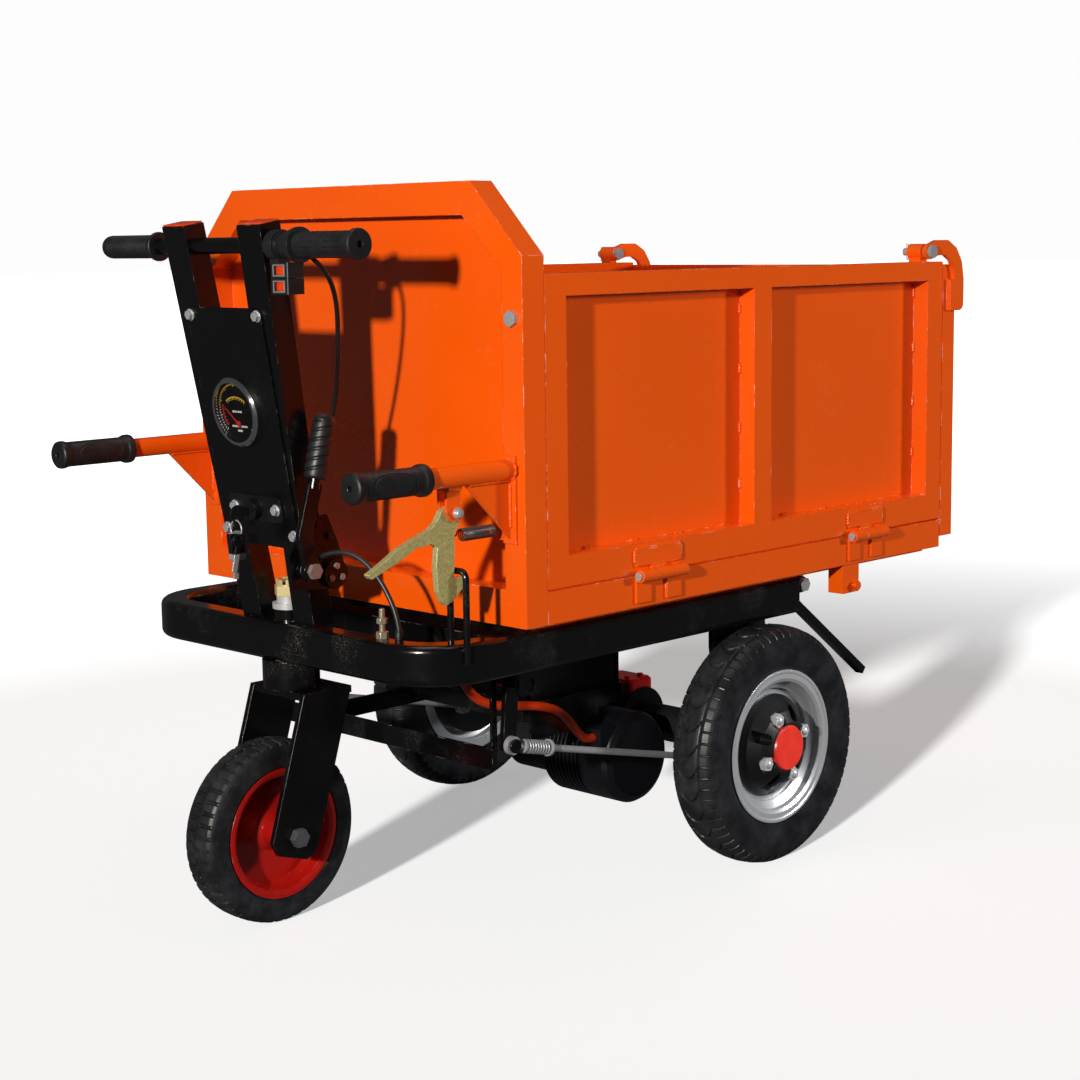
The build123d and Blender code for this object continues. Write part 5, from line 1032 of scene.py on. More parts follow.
@dataclass
class Studio:
    """Floor, lamps and the camera at the photograph's place."""

    eye: Point = (-2212.5, -2222.4, 938.6)
    yaw_deg: float = 45.18
    pitch_deg: float = -8.36
    roll_deg: float = -0.79
    focal_px: float = 2045.0
    picture_px: float = 1080.0
    sensor_mm: float = 36.0
    sight_m: float = 200.0
    floor_half: float = 60000.0
    surround_colour: str = "#FDFDFD"
    surround_seen: float = 1.0
    surround_light: float = 0.06
    sun_way: Point = (0.91, 0.36, -0.185)
    sun_strength: float = 8.4
    sun_spread_deg: float = 3.0
    # a low key lamp at the operator's end, a side and a top lamp, and fills for the far sides
    lamps: tuple[Lamp, ...] = (
        Lamp("key_lamp", (-4200, -1660, 1500), (0, 0, 650), 170, 225, tint="#FFF8F0"),
        Lamp("side_lamp", (4300, -4000, 1500), (150, 0, 500), 700, 215, mirrored=False),
        Lamp("top_lamp", (-200, -200, 5200), (0, 0, 0), 3000, 55),
        Lamp("left_fill", (600, 5000, 2200), (100, 0, 500), 2500, 130, shadow=False, mirrored=False),
        Lamp("rear_fill", (5400, 1500, 2200), (100, 0, 500), 2500, 90, shadow=False, mirrored=False),
    )
    metal_lamp: Lamp = Lamp("metal_lamp", (2400, -4300, 2300), (150, -300, 200), 1500, 230)

    def build(self) -> None:
        """Sets up the floor, the light and the camera."""
        self._light(self._floor())
        self._surround()
        self._camera()
        bpy.context.scene.view_settings.view_transform = "Standard"

    def _floor(self) -> bpy.types.Object:
        """Lays the white floor.

        Returns:
            The floor.
        """
        half = self.floor_half
        corners = [(-half, -half, 0), (half, -half, 0), (half, half, 0), (-half, half, 0)]
        floor = MeshPlan(corners, [(0, 1, 2, 3)], [0]).piece("studio_floor", smooth=False)
        floor.data.materials.append(PAPER.material())
        return floor

    def _light(self, floor: bpy.types.Object) -> None:
        """Hangs the lamps, which leave the floor out, and gives the floor a sun of its own.

        Args:
            floor: The floor.
        """
        object_alone = bpy.data.collections.new("lit_object")
        object_alone.objects.link(floor)
        object_alone.collection_objects[0].light_linking.link_state = "EXCLUDE"
        for lamp in self.lamps:
            lamp.hang(object_alone)
        floor_alone = bpy.data.collections.new("lit_floor")
        floor_alone.objects.link(floor)
        sun = bpy.data.lights.new("floor_light", "SUN")
        sun.energy = self.sun_strength
        sun.angle = math.radians(self.sun_spread_deg)
        holder = bpy.data.objects.new("floor_light", sun)
        holder.rotation_euler = Vector(self.sun_way).to_track_quat("-Z", "Y").to_euler()
        holder.light_linking.receiver_collection = floor_alone
        bpy.context.scene.collection.objects.link(holder)

    def light_metal(self, names: Iterable[str]) -> None:
        """Hangs a broad lamp that only the bright metal takes and mirrors.

        Args:
            names: The metal pieces.
        """
        bright = bpy.data.collections.new("lit_metal")
        for name in names:
            bright.objects.link(bpy.data.objects[name])
        self.metal_lamp.hang(bright)

    def _surround(self) -> None:
        """Makes the surround: white to look at, and dim in the light that it gives."""
        world = bpy.data.worlds.new("studio_surround")
        world.use_nodes = True
        tree = world.node_tree
        looked_at = add_node(tree, "LightPath").outputs["Is Camera Ray"]
        strength = add_node(
            tree, "MapRange",
            {"Value": looked_at, "To Min": self.surround_light, "To Max": self.surround_seen},
        )
        tree.nodes["Background"].inputs["Color"].default_value = linear(self.surround_colour)
        tree.links.new(strength.outputs[0], tree.nodes["Background"].inputs["Strength"])
        bpy.context.scene.world = world

    def _camera(self) -> None:
        """Places the camera and sets its lens from the picture's focal length."""
        yaw = math.radians(self.yaw_deg)
        pitch = math.radians(self.pitch_deg)
        roll = math.radians(self.roll_deg)
        ahead = Vector((math.sin(yaw) * math.cos(pitch), math.cos(yaw) * math.cos(pitch), math.sin(pitch)))
        level = ahead.cross(Vector((0, 0, 1))).normalized()
        above = level.cross(ahead)
        right = math.cos(roll) * level + math.sin(roll) * above
        up = -math.sin(roll) * level + math.cos(roll) * above
        data = bpy.data.cameras.new("photo_camera")
        data.sensor_width = self.sensor_mm
        data.lens = self.sensor_mm * self.focal_px / self.picture_px
        data.clip_end = self.sight_m
        camera = bpy.data.objects.new("photo_camera", data)
        camera.matrix_world = Matrix(
            (
                (right.x, up.x, -ahead.x, self.eye[0] * MM),
                (right.y, up.y, -ahead.y, self.eye[1] * MM),
                (right.z, up.z, -ahead.z, self.eye[2] * MM),
                (0, 0, 0, 1),
            )
        )
        bpy.context.scene.collection.objects.link(camera)
        bpy.context.scene.camera = camera


@dataclass
class Cords:
    """Brake cable, throttle lead and motor conduit on their routes, with their end fittings."""

    cable_radius: float = 3.5
    lead_radius: float = 3.2
    conduit_radius: float = 6.5
    adjuster: Point = (-480.5, -206.0, 421.0)
    socket: Point = (-470.5, -228.0, 421.0)
    cable_stop: Point = (-506.5, -103.1, 519.0)
    lead_clip: Point = (-488.1, -80.0, 626.6)
    cable_route: tuple[Point, ...] = (
        (-506.5, -103, 519), (-503.5, -118, 526), (-498.5, -138, 532), (-490.5, -159, 531),
        (-482.5, -180, 519), (-476.5, -199, 498), (-472.5, -214, 473), (-470.5, -224, 451),
        (-470.5, -228, 433),
    )
    lead_route: tuple[Point, ...] = (
        (-546.4, -158, 922.7), (-529.5, -158, 911), (-514.5, -157, 895), (-502.5, -154, 874),
        (-494.5, -149, 846), (-488.5, -141, 814), (-480.5, -130, 779), (-473.5, -117, 742),
        (-470.5, -103, 704), (-474.5, -90, 665), (-489.1, -80, 632.6),
    )
    conduit_route: tuple[Point, ...] = (
        (-328.5, -190, 375.4), (-327.5, -190, 350), (-317.5, -192, 323), (-293.5, -194, 301),
        (-258.5, -196, 289), (-217.5, -197, 283), (-174.5, -195, 275), (-135.5, -190, 261),
        (-103.5, -182, 238), (-78.5, -175, 215), (-59.5, -172, 200), (-42.9, -172, 200),
    )
    thread_radius: float = 3.9
    thread_wave: float = 0.35
    thread_pitch: float = 1.5
    thread_step: float = 0.5
    adjuster_segments: int = 60
    fitting_segments: int = 32
    nut_core: float = 6.0
    nut_parting: float = 10.0
    nut_flats: Pair = (15.0, 13.0)
    socket_outline: Outline = (
        (0.05, 0.3), (0.05, 6), (7.5, 6), (9, 5.4), (10.5, 5.6), (12, 4.8), (14, 4.2), (14, 0.3)
    )
    stop_outline: Outline = (
        (0, 0.3), (0, 4.4), (0.8, 5.5), (2.6, 5.5), (3, 4.9), (3.4, 5.5), (6.05, 5.5), (6.05, 0.3)
    )
    clip_half: Pair = (6.0, 5.0)
    clip_chamfers: Pair = (2.0, 0.5)
    clip_layers: Outline = ((-8, 1.4), (-7, 0.3), (-6, 0), (6, 0), (7, 0.3), (8, 1.4))

    def _thread(self, start: float, count: int) -> list[Pair]:
        """Outline of a stretch of the adjuster's thread.

        Args:
            start: Height above the frame where it starts.
            count: Count of its points.

        Returns:
            Heights and radii.
        """
        outline = []
        for k in range(count):
            along = self.thread_step * k
            wave = self.thread_wave * math.cos(FULL_TURN * along / self.thread_pitch)
            outline.append((start + along, self.thread_radius + wave))
        return outline

    def _adjuster_depth(self, turn: float, along: float, radius: float) -> float:
        """Cuts the two nuts on the cable's adjuster.

        Args:
            turn: Angle round the adjuster in radians.
            along: Height above the frame.
            radius: Distance from its line before cutting.

        Returns:
            Depth in millimetres.
        """
        if radius < self.nut_core:
            return 0.0
        return hex_cut(turn, radius, self.nut_flats[0] if along < self.nut_parting else self.nut_flats[1])

    def _clip_rings(self) -> list[list[Vector]]:
        """Outlines of the lead's clip, layer by layer up the column.

        Returns:
            The rings in order.
        """
        up, inward = column_axes()
        front, back = self.clip_chamfers
        rings = []
        for rise, inset in self.clip_layers:
            wide = self.clip_half[0] - inset
            deep = self.clip_half[1] - inset
            corners = (
                (-wide, -deep + front), (-wide + front, -deep), (wide - front, -deep), (wide, -deep + front),
                (wide, deep - back), (wide - back, deep), (-wide + back, deep), (-wide, deep - back),
            )
            middle = Vector(self.lead_clip) + up * rise
            rings.append([middle + Vector((0, a, 0)) + inward * b for a, b in corners])
        return rings

    def _fittings(self) -> None:
        """Makes the cable's stop, socket and threaded adjuster, and the lead's clip."""
        outline = [(0.05, 0.3), (0.05, 8.2), (0.8, 8.66), (8.2, 8.66), (9, 8.0), *self._thread(9.2, 21)]
        outline += [(20, 7.0), (20.7, 7.5), (26.3, 7.5), (27, 7.0), *self._thread(27.4, 24)]
        outline += [(40, 3.0), (40, 0.3)]
        turned = TurnedRelief(
            self.adjuster, (0, 0, 1), outline, self.adjuster_segments, self._adjuster_depth
        )
        settle(turned.piece("cable_adjuster"), "chassis", [BRASS])
        plan = MeshPlan()
        for start, way, outline in (
            (self.socket, (0, 0, 1), self.socket_outline), (self.cable_stop, (0, 1, 0), self.stop_outline)
        ):
            plan.loft(TurnedRelief(start, way, outline, self.fitting_segments).rings(), closed=True)
        plan.loft(self._clip_rings())
        settle(plan.piece("cord_fittings"), "chassis", [BLACK_ABS])

    def build(self) -> None:
        """Lays the three cords and their fittings."""
        self._fittings()
        cable = wire_piece("brake_cable_run", [self.cable_route], self.cable_radius)
        settle(cable, "chassis", [BRAKE_PVC], ["brake_cable"])
        lead = wire_piece("throttle_lead_run", [self.lead_route], self.lead_radius)
        settle(lead, "chassis", [CABLE_PVC], ["throttle_lead"])
        conduit = wire_piece("motor_conduit_run", [self.conduit_route], self.conduit_radius)
        settle(conduit, "chassis", [CONDUIT_PVC], ["motor_conduit"])


@dataclass
class CoilSprings:
    """The latch's tension spring and the two return springs on the brake rods."""

    latch_start: Point = (-433.94, -311, 563)
    latch_wound: float = 56.88
    latch_coils: int = 16
    latch_radius: float = 7.6
    latch_wire: float = 1.0
    latch_tail: float = 3.0
    # length of each end's run to the hook, in radii, and where on it the wire bends
    run_radii: float = 1.6
    bend: Pair = (0.55, 0.2)
    rod_front: Point = (-296.48, 259.0, 250.36)
    rod_way: Point = (0.973933, 0.0, -0.226836)
    rod_offset: float = 25.6
    rod_length: float = 42.4
    rod_coils: int = 8
    rod_radius: float = 9.0
    rod_wire: float = 1.2
    steps: int = 16

    def _helix(self, length: float, coils: int, radius: float) -> list[Point]:
        """Points of a helix along X from the origin.

        Args:
            length: Length along X.
            coils: Number of turns.
            radius: Radius at the wire's middle.

        Returns:
            The points in order.
        """
        # control points lie outside a smooth line by this share, so that the wire keeps its radius
        spread = radius / (0.75 + 0.25 * math.cos(FULL_TURN / self.steps))
        count = coils * self.steps
        points = []
        for index in range(count + 1):
            turn = FULL_TURN * index / self.steps
            points.append((length * index / count, spread * math.cos(turn), spread * math.sin(turn)))
        return points

    def build(self) -> None:
        """Winds the springs and hangs them on their bodies."""
        run = self.run_radii * self.latch_radius
        turns = self._helix(self.latch_wound, self.latch_coils, self.latch_radius)
        bent = (-self.bend[0] * run, self.bend[1] * self.latch_radius, 0)
        before = [(-run - self.latch_tail, 0, 0), (-run, 0, 0), bent]
        after = [(self.latch_wound - x, y, z) for x, y, z in reversed(before)]
        x0, y0, z0 = self.latch_start
        route = [(x0 + x, y0 + y, z0 + z) for x, y, z in before + turns + after]
        latch = wire_piece("latch_spring_coil", [route], self.latch_wire)
        settle(latch, "hopper", [SPRING_STEEL], ["latch_spring"])
        along = Vector(self.rod_way)
        across = Vector((0, 1, 0))
        third = along.cross(across)
        routes = []
        for side in Side:
            foot = Vector((self.rod_front[0], side.value * self.rod_front[1], self.rod_front[2]))
            coil = []
            for x, y, z in self._helix(self.rod_length, self.rod_coils, self.rod_radius):
                spot = foot + along * (self.rod_offset + x) + across * y + third * z
                coil.append((spot.x, spot.y, spot.z))
            routes.append(coil)
        rods = wire_piece("brake_rod_spring_coils", routes, self.rod_wire)
        settle(rods, "rods", [CLEAR_ZINC], ["brake_rod_springs"])


@dataclass
class RearWheels:
    """Rear tyres with their tread, and the finishes of rims, hubs, drums and nuts."""

    radius: float = 181.0
    half_width: float = 40.0
    half_track: float = 335.0
    axle_x: float = 161.5
    rim_radius: float = 116.0
    bead_radius: float = 102.0
    half_rim: float = 33.0
    bead_inset: float = 3.0
    seat_inset: float = 10.0
    pitches: int = 32
    groove: float = 1.5
    groove_depth: float = 3.6
    wall_blend: float = 0.7
    # bowed bars across the middle, straight blocks on the shoulders and a shallower ring between them
    bar_reach: float = 20.0
    bar_bow: float = 0.62
    shoulder: Pair = (19.0, 37.5)
    ring_at: float = 19.5
    ring_groove: float = 1.2
    ring_blend: float = 0.6
    ring_share: float = 0.8
    tread_drop: float = 16.0
    tread_fade: float = 4.0
    outline_step: float = 1.6
    segments: int = 1024

    def _depth(self, turn: float, along: float, radius: float) -> float:
        """Depth of the tread's grooves at a place on the tyre.

        Args:
            turn: Angle round the axle in radians.
            along: Distance from the tyre's middle along the axle.
            radius: Distance from the axle before cutting.

        Returns:
            Depth in millimetres.
        """
        reach = abs(along)
        pitch = FULL_TURN / self.pitches
        deepest = 0.0
        if reach < self.bar_reach:
            bow = pitch * self.bar_bow * (1 - (reach / self.bar_reach) ** 2)
            phase = (turn - bow) % pitch
            gap = min(phase, pitch - phase) * self.radius
            deepest = groove_share(gap, self.groove, self.wall_blend)
        if self.shoulder[0] <= reach <= self.shoulder[1]:
            half = pitch / 2
            phase = turn % half
            gap = min(phase, half - phase) * self.radius
            deepest = max(deepest, groove_share(gap, self.groove, self.wall_blend))
        ring = groove_share(abs(reach - self.ring_at), self.ring_groove, self.ring_blend)
        fade = smooth_step((radius - self.radius + self.tread_drop) / self.tread_fade)
        return self.groove_depth * max(deepest, self.ring_share * ring) * fade

    def build(self) -> None:
        """Builds both tyres and dresses the wheels."""
        half = self.half_width
        bead = self.half_rim - self.bead_inset
        rim = self.rim_radius
        crown = self.radius
        flank = [
            (bead - 0.3, self.bead_radius), (bead - 0.3, rim - 5), (bead + 1, rim + 1.5),
            (half - 4.5, rim + 8), (half - 1.2, rim + 18), (half, rim + 30), (half - 0.6, rim + 42),
            (half - 3.5, crown - 14.5), (half - 5.0, crown - 11.5), (half - 8.5, crown - 8),
            (half - 16, crown - 3.4), (half - 28, crown - 0.8), (0, crown),
        ]
        seat = bead - self.seat_inset
        inner = [(-seat, self.bead_radius), (seat, self.bead_radius)]
        outline = fill_outline(both_flanks(flank), self.outline_step) + inner
        for side in Side:
            centre = (self.axle_x, side.value * self.half_track, self.radius)
            turned = TurnedRelief(centre, (0, 1, 0), outline, self.segments, self._depth)
            tyre = turned.piece(f"rear_tyre_tread_{side.word}")
            settle(tyre, f"rear_wheel_{side.word}", [TYRE], [f"rear_tyre_{side.word}"])
            dress(SILVER, [f"rear_rim_{side.word}"])
            dress(HUB, [f"rear_hub_{side.word}"])
            dress(DARK_CAST, [f"brake_drum_{side.word}"])
            dress(CLEAR_ZINC, [f"lug_nuts_{side.word}"])


@dataclass
class Caster:
    """Front wheel with its solid tyre, fork and kingpin."""

    radius: float = 129.0
    half_width: float = 31.0
    axle_x: float = -517.5
    rim_radius: float = 92.0
    seat_radius: float = 84.3
    blocks: int = 48
    groove: float = 2.1
    groove_depth: float = 4.2
    wall_blend: float = 0.8
    block_reach: float = 26.5
    middle_groove: float = 2.0
    tread_drop: float = 16.0
    tread_fade: float = 4.0
    outline_step: float = 1.6
    segments: int = 768

    def _depth(self, turn: float, along: float, radius: float) -> float:
        """Depth of the two rows of blocks at a place on the tyre.

        Args:
            turn: Angle round the axle in radians.
            along: Distance from the tyre's middle along the axle.
            radius: Distance from the axle before cutting.

        Returns:
            Depth in millimetres.
        """
        pitch = FULL_TURN / self.blocks
        phase = (turn + (pitch / 2 if along > 0 else 0.0)) % pitch
        gap = min(phase, pitch - phase) * self.radius
        cut = groove_share(gap, self.groove, self.wall_blend) if abs(along) <= self.block_reach else 0.0
        middle = groove_share(abs(along), self.middle_groove, self.wall_blend)
        fade = smooth_step((radius - self.radius + self.tread_drop) / self.tread_fade)
        return self.groove_depth * max(cut, middle) * fade

    def build(self) -> None:
        """Builds the tyre and dresses the caster."""
        half = self.half_width
        crown = self.radius
        flank = [
            (half - 3.3, self.seat_radius), (half - 3.3, self.rim_radius + 0.6), (half, self.rim_radius + 3),
            (half, crown - 16), (half - 1.6, crown - 9), (half - 4, crown - 5.2), (half - 8, crown - 2),
            (half - 18, crown - 0.5), (0, crown),
        ]
        outline = fill_outline(both_flanks(flank), self.outline_step)
        turned = TurnedRelief((self.axle_x, 0, self.radius), (0, 1, 0), outline, self.segments, self._depth)
        settle(turned.piece("front_tyre_tread"), "front_wheel", [TYRE], ["front_tyre"])
        dress(RED, ["front_rim"])
        dress(BLACK, ["caster_fork"])
        dress(KINGPIN_PLATE, ["kingpin_nut"])
        dress(DARK_ZINC, ["front_axle_bolt"])


@dataclass(frozen=True)
class Scale:
    """An arc and its ticks on the dial: their radii, and angles in degrees from upright, clockwise."""

    ink: Print
    arc: Pair
    span: Pair
    steps: int
    ticks: Pair
    turns: range
    half_deg: float
    drop: float = 0.0


@dataclass
class Column:
    """Steering column with its gauge, lock, handlebar and switches."""

    foot: Point = (-492.5, 0, 421)
    gauge_height: float = 716.0
    dial_radius: float = 40.6
    dial_depth: float = 7.0
    dial_faces: Pair = (0.3, 0.05)
    dial_sides: int = 72
    ink_height: float = 0.55
    ink_thick: float = 0.25
    # ticks along the rim: count, first angle and step; every sixth is long, and the ends are white
    rim_ticks: tuple[int, float, float] = (49, -132.0, 5.5)
    rim_radii: tuple[float, float, float] = (34.0, 36.0, 38.5)
    rim_long: int = 6
    rim_yellow: range = range(9, 40)
    rim_half_deg: float = 0.8
    scales: tuple[Scale, ...] = (
        Scale(Print.RED, (30.5, 31.5), (-128, -74), 18, (27.0, 30.5), range(-126, -75, 10), 1.1),
        Scale(Print.YELLOW, (35.5, 37.0), (-34, 34), 16, (32.5, 35.5), range(-32, 33, 8), 1.0, drop=16.0),
    )
    # plain bars: how far each row lies below the gauge's middle, and where its bars start and end
    bar_rows: tuple[tuple[float, tuple[float, ...]], ...] = (
        (1, (-10, -6, -5, -1, 1, 5, 6, 10)), (21, (-17, -12, -11, -5, -4, 3, 4, 10, 11, 16)), (27, (-5, 5)),
    )
    bar_height: float = 2.6
    top: float = 962.0
    cap_inner: float = 58.0
    cap_outer: float = 107.0
    cap_depth: float = 34.0
    cap_layers: Outline = ((1.2, 0.05), (0.0, 0.7), (0.0, 1.7), (0.9, 2.4))
    cap_round: Pair = (3.0, 1.0)
    pod_face: float = -579.5
    rocker_y: float = -137.0
    rocker_half: Pair = (10.0, 5.9)
    rocker_heights: Pair = (904.0, 883.5)
    rocker_frame: Outline = ((0.0, 0.05), (1.9, 0.05), (1.6, -0.9), (0.3, -0.9))
    throttle_start: Point = (-565.5, -166.4, 936.0)
    throttle_radius: float = 17.0
    throttle_step: float = 0.9
    throttle_segments: int = 180
    throttle_grooves: int = 12
    throttle_groove: Pair = (0.8, 0.4)
    throttle_cut: float = 0.8
    throttle_ends: tuple[float, float, float, float] = (6.0, 100.0, 3.0, 3.0)
    # middle, half width and edge of the band of dots
    throttle_band: Point = (52.0, 6.0, 2.0)
    # the band's dots are drawn coarser than the real knurl so that they show
    dots_round: int = 36
    dots_pitch: float = 3.0
    dots_cut: float = 0.45
    left_start: Point = (-565.5, 140.0, 936.0)
    left_radius: float = 16.0
    left_step: float = 0.6
    left_segments: int = 96
    left_pitch: float = 4.0
    left_cut: float = 0.8
    left_ends: tuple[float, float, float, float] = (12.0, 110.0, 2.0, 2.0)
    left_strip: float = 0.12
    brake_start: Point = (-515.5, -115.0, 618.0)
    brake_way: Point = (23.0, 0.0, 94.0)
    brake_core: float = 12.0
    brake_step: float = 0.8
    brake_segments: int = 96
    brake_pitch: float = 13.0
    brake_cut: float = 2.2
    brake_from: float = 16.0
    brake_flank: Pair = (0.35, 0.5)
    brake_ends: tuple[float, float, float, float] = (17.0, 90.0, 3.0, 4.0)
    bore_radius: float = 11.3
    # relief is cut only where a sleeve has its full radius, to within this
    skin: float = 0.1

    def place(self, across: float, height: float, depth: float) -> Vector:
        """A point on the column's face.

        Args:
            across: Distance to the operator's left of the middle.
            height: Height above the floor on the face.
            depth: Distance behind the face, negative in front of it.

        Returns:
            The point in millimetres.
        """
        up, inward = column_axes()
        along = (height - self.foot[2]) * math.hypot(1, COLUMN_SLOPE)
        return Vector(self.foot) + Vector((0, across, 0)) + up * along + inward * depth

    def _mark(
        self, plan: MeshPlan, ring: tuple[float, float, float, float], ink: Print, drop: float = 0.0,
        steps: int = 1,
    ) -> None:
        """Adds a raised mark between two radii and two angles on the dial.

        Args:
            plan: The dial's mesh so far.
            ring: Inner radius, outer radius, first angle and last angle in degrees from upright, clockwise.
            ink: Its ink.
            drop: How far the marks' centre lies below the gauge's middle.
            steps: Pieces along the angle.
        """
        inner, outer, first, last = ring
        turns = [math.radians(first + (last - first) * k / steps) for k in range(steps + 1)]
        spots = [(outer, turn) for turn in turns] + [(inner, turn) for turn in reversed(turns)]
        self._ink(plan, [(-r * math.sin(turn), r * math.cos(turn) - drop) for r, turn in spots], ink)

    def _layers(self, plan: MeshPlan, corners: Outline, depths: Pair, ink: Print) -> None:
        """Adds a plate to the dial, with corners across and up from its middle and two depths."""
        height = self.gauge_height
        plan.loft([[self.place(a, height + b, depth) for a, b in corners] for depth in depths], ink)

    def _ink(self, plan: MeshPlan, corners: Outline, ink: Print) -> None:
        """Adds a raised patch of ink to the dial, with corners across and up from its middle."""
        top = -self.dial_depth - self.ink_height
        self._layers(plan, corners, (top, top + self.ink_thick), ink)

    def _dial(self) -> None:
        """Prints the dial: a black disc with two scales, ticks and rows of plain bars."""
        plan = MeshPlan()
        turns = [FULL_TURN * k / self.dial_sides for k in range(self.dial_sides)]
        rim = [(self.dial_radius * math.sin(turn), self.dial_radius * math.cos(turn)) for turn in turns]
        front, back = self.dial_faces
        self._layers(plan, rim, (-self.dial_depth - front, -self.dial_depth - back), Print.BLACK)
        count, first, step = self.rim_ticks
        long, short, outer = self.rim_radii
        for index in range(count):
            turn = first + step * index
            inner = short if index % self.rim_long else long
            ink = Print.YELLOW if index in self.rim_yellow else Print.WHITE
            self._mark(plan, (inner, outer, turn - self.rim_half_deg, turn + self.rim_half_deg), ink)
        for scale in self.scales:
            self._mark(plan, (*scale.arc, *scale.span), scale.ink, scale.drop, scale.steps)
            for turn in scale.turns:
                ring = (*scale.ticks, turn - scale.half_deg, turn + scale.half_deg)
                self._mark(plan, ring, scale.ink, scale.drop)
        for drop, spans in self.bar_rows:
            low, high = -drop, self.bar_height - drop
            for left, right in zip(spans[::2], spans[1::2]):
                self._ink(plan, [(left, low), (right, low), (right, high), (left, high)], Print.WHITE)
        made = plan.piece("gauge_dial_print", smooth=False)
        settle(made, "chassis", [DIAL_BLACK, DIAL_YELLOW, DIAL_RED, DIAL_WHITE])

    def _caps(self) -> None:
        """Closes the tops of the two channels with painted plates."""
        plan = MeshPlan()
        up, _ = column_axes()
        wide, tight = self.cap_round
        for side in Side:
            rings = []
            for inset, rise in self.cap_layers:
                inner, outer, deep = self.cap_inner + inset, self.cap_outer - inset, self.cap_depth - inset
                corners = (
                    (inner, inset + wide), (inner + tight, inset + tight), (inner + wide, inset),
                    (outer - wide, inset), (outer - tight, inset + tight), (outer, inset + wide),
                    (outer, deep - wide), (outer - wide, deep), (inner + wide, deep), (inner, deep - wide),
                )
                rings.append([self.place(side.value * u, self.top, w) + up * rise for u, w in corners])
            plan.loft(rings)
        settle(plan.piece("channel_caps"), "chassis", [CAP_ORANGE])

    def _switch_frames(self) -> None:
        """Puts a light frame round each rocker's opening."""
        plan = MeshPlan()
        for middle in self.rocker_heights:
            rings = []
            for y_sign, z_sign in ((-1, -1), (1, -1), (1, 1), (-1, 1)):
                ring = []
                for out, ahead in self.rocker_frame:
                    y = self.rocker_y + y_sign * (self.rocker_half[0] + out)
                    z = middle + z_sign * (self.rocker_half[1] + out)
                    ring.append((self.pod_face + ahead, y, z))
                rings.append(ring)
            plan.loft(rings, closed=True)
        settle(plan.piece("rocker_frames", smooth=False), "chassis", [FRAME_ABS])

    def _throttle_depth(self, turn: float, along: float, radius: float) -> float:
        """Depth of the lengthwise grooves and the band of dots on the throttle grip.

        Args:
            turn: Angle round the bar in radians.
            along: Distance from the grip's inner end.
            radius: Distance from the bar's line before cutting.

        Returns:
            Depth in millimetres.
        """
        if abs(radius - self.throttle_radius) > self.skin:
            return 0.0
        pitch = FULL_TURN / self.throttle_grooves
        gap = abs((turn % pitch) - pitch / 2) * radius
        middle, half, edge = self.throttle_band
        outside = smooth_step((abs(along - middle) - half) / edge)
        groove = groove_share(gap, *self.throttle_groove) * between(along, *self.throttle_ends) * outside
        dots = crest(turn * self.dots_round) * crest(FULL_TURN * along / self.dots_pitch) * (1 - outside)
        return self.throttle_cut * groove + self.dots_cut * dots

    def _ring_depth(self, turn: float, along: float, radius: float) -> float:
        """Depth of the rings on the left grip, with a plain strip above and below.

        Args:
            turn: Angle round the bar in radians.
            along: Distance from the grip's inner end.
            radius: Distance from the bar's line before cutting.

        Returns:
            Depth in millimetres.
        """
        if abs(radius - self.left_radius) > self.skin:
            return 0.0
        strip = smooth_step((abs(math.cos(turn)) - self.left_strip) / self.left_strip)
        rings = 1 - crest(FULL_TURN * along / self.left_pitch)
        return self.left_cut * rings * between(along, *self.left_ends) * strip

    def _spiral_depth(self, turn: float, along: float, radius: float) -> float:
        """Depth of the spiral finger grooves on the handbrake's grip.

        Args:
            turn: Angle round the lever in radians.
            along: Distance along the lever.
            radius: Distance from its line before cutting.

        Returns:
            Depth in millimetres.
        """
        if radius < self.brake_core:
            return 0.0
        phase = FULL_TURN * (along - self.brake_from) / self.brake_pitch + 2 * turn
        flank = smooth_step((math.cos(phase) - self.brake_flank[0]) / self.brake_flank[1])
        return self.brake_cut * flank * between(along, *self.brake_ends)

    def _grips(self) -> None:
        """Moulds the throttle grip, the left grip and the handbrake's grip."""
        bore = self.bore_radius
        corners = [
            (0, bore), (0, 16.4), (0.8, 17), (106, 17), (107.2, 19.3), (108.4, 20), (113, 20), (114.9, 19.2),
            (115.6, 17.8), (115.6, 5.4), (115, 4.6), (110.5, 4.6), (110.5, 0.3),
        ]
        outline = fill_outline(corners, self.throttle_step) + [(102.4, 0.3), (102.4, bore)]
        turned = TurnedRelief(
            self.throttle_start, (0, -1, 0), outline, self.throttle_segments, self._throttle_depth
        )
        settle(turned.piece("throttle_grip_sleeve"), "throttle", [GRIP], ["throttle_grip"])
        corners = [
            (0, bore), (0, 18.6), (0.8, 19.6), (2, 20), (4.4, 20), (5.8, 19), (7.2, 17), (9, 16), (113, 16),
            (117, 15.6), (120, 14.6), (121.6, 13.2), (122, 11.5), (122, 0.3),
        ]
        outline = fill_outline(corners, self.left_step) + [(116.6, 0.3), (116.6, bore)]
        turned = TurnedRelief(self.left_start, (0, 1, 0), outline, self.left_segments, self._ring_depth)
        settle(turned.piece("left_grip_sleeve"), "chassis", [GRIP], ["left_grip"])
        corners = [
            (11.3, 8.2), (11.3, 12.8), (12.4, 14.6), (14.6, 15.6), (18, 16), (84, 16), (90, 15.4),
            (95, 13.4), (97.6, 10.4), (98.7, 6), (98.7, 0.3),
        ]
        outline = fill_outline(corners, self.brake_step) + [(97.3, 0.3), (97.3, 8.2)]
        turned = TurnedRelief(
            self.brake_start, self.brake_way, outline, self.brake_segments, self._spiral_depth
        )
        settle(turned.piece("handbrake_grip_sleeve"), "handbrake", [GRIP], ["handbrake_grip"])

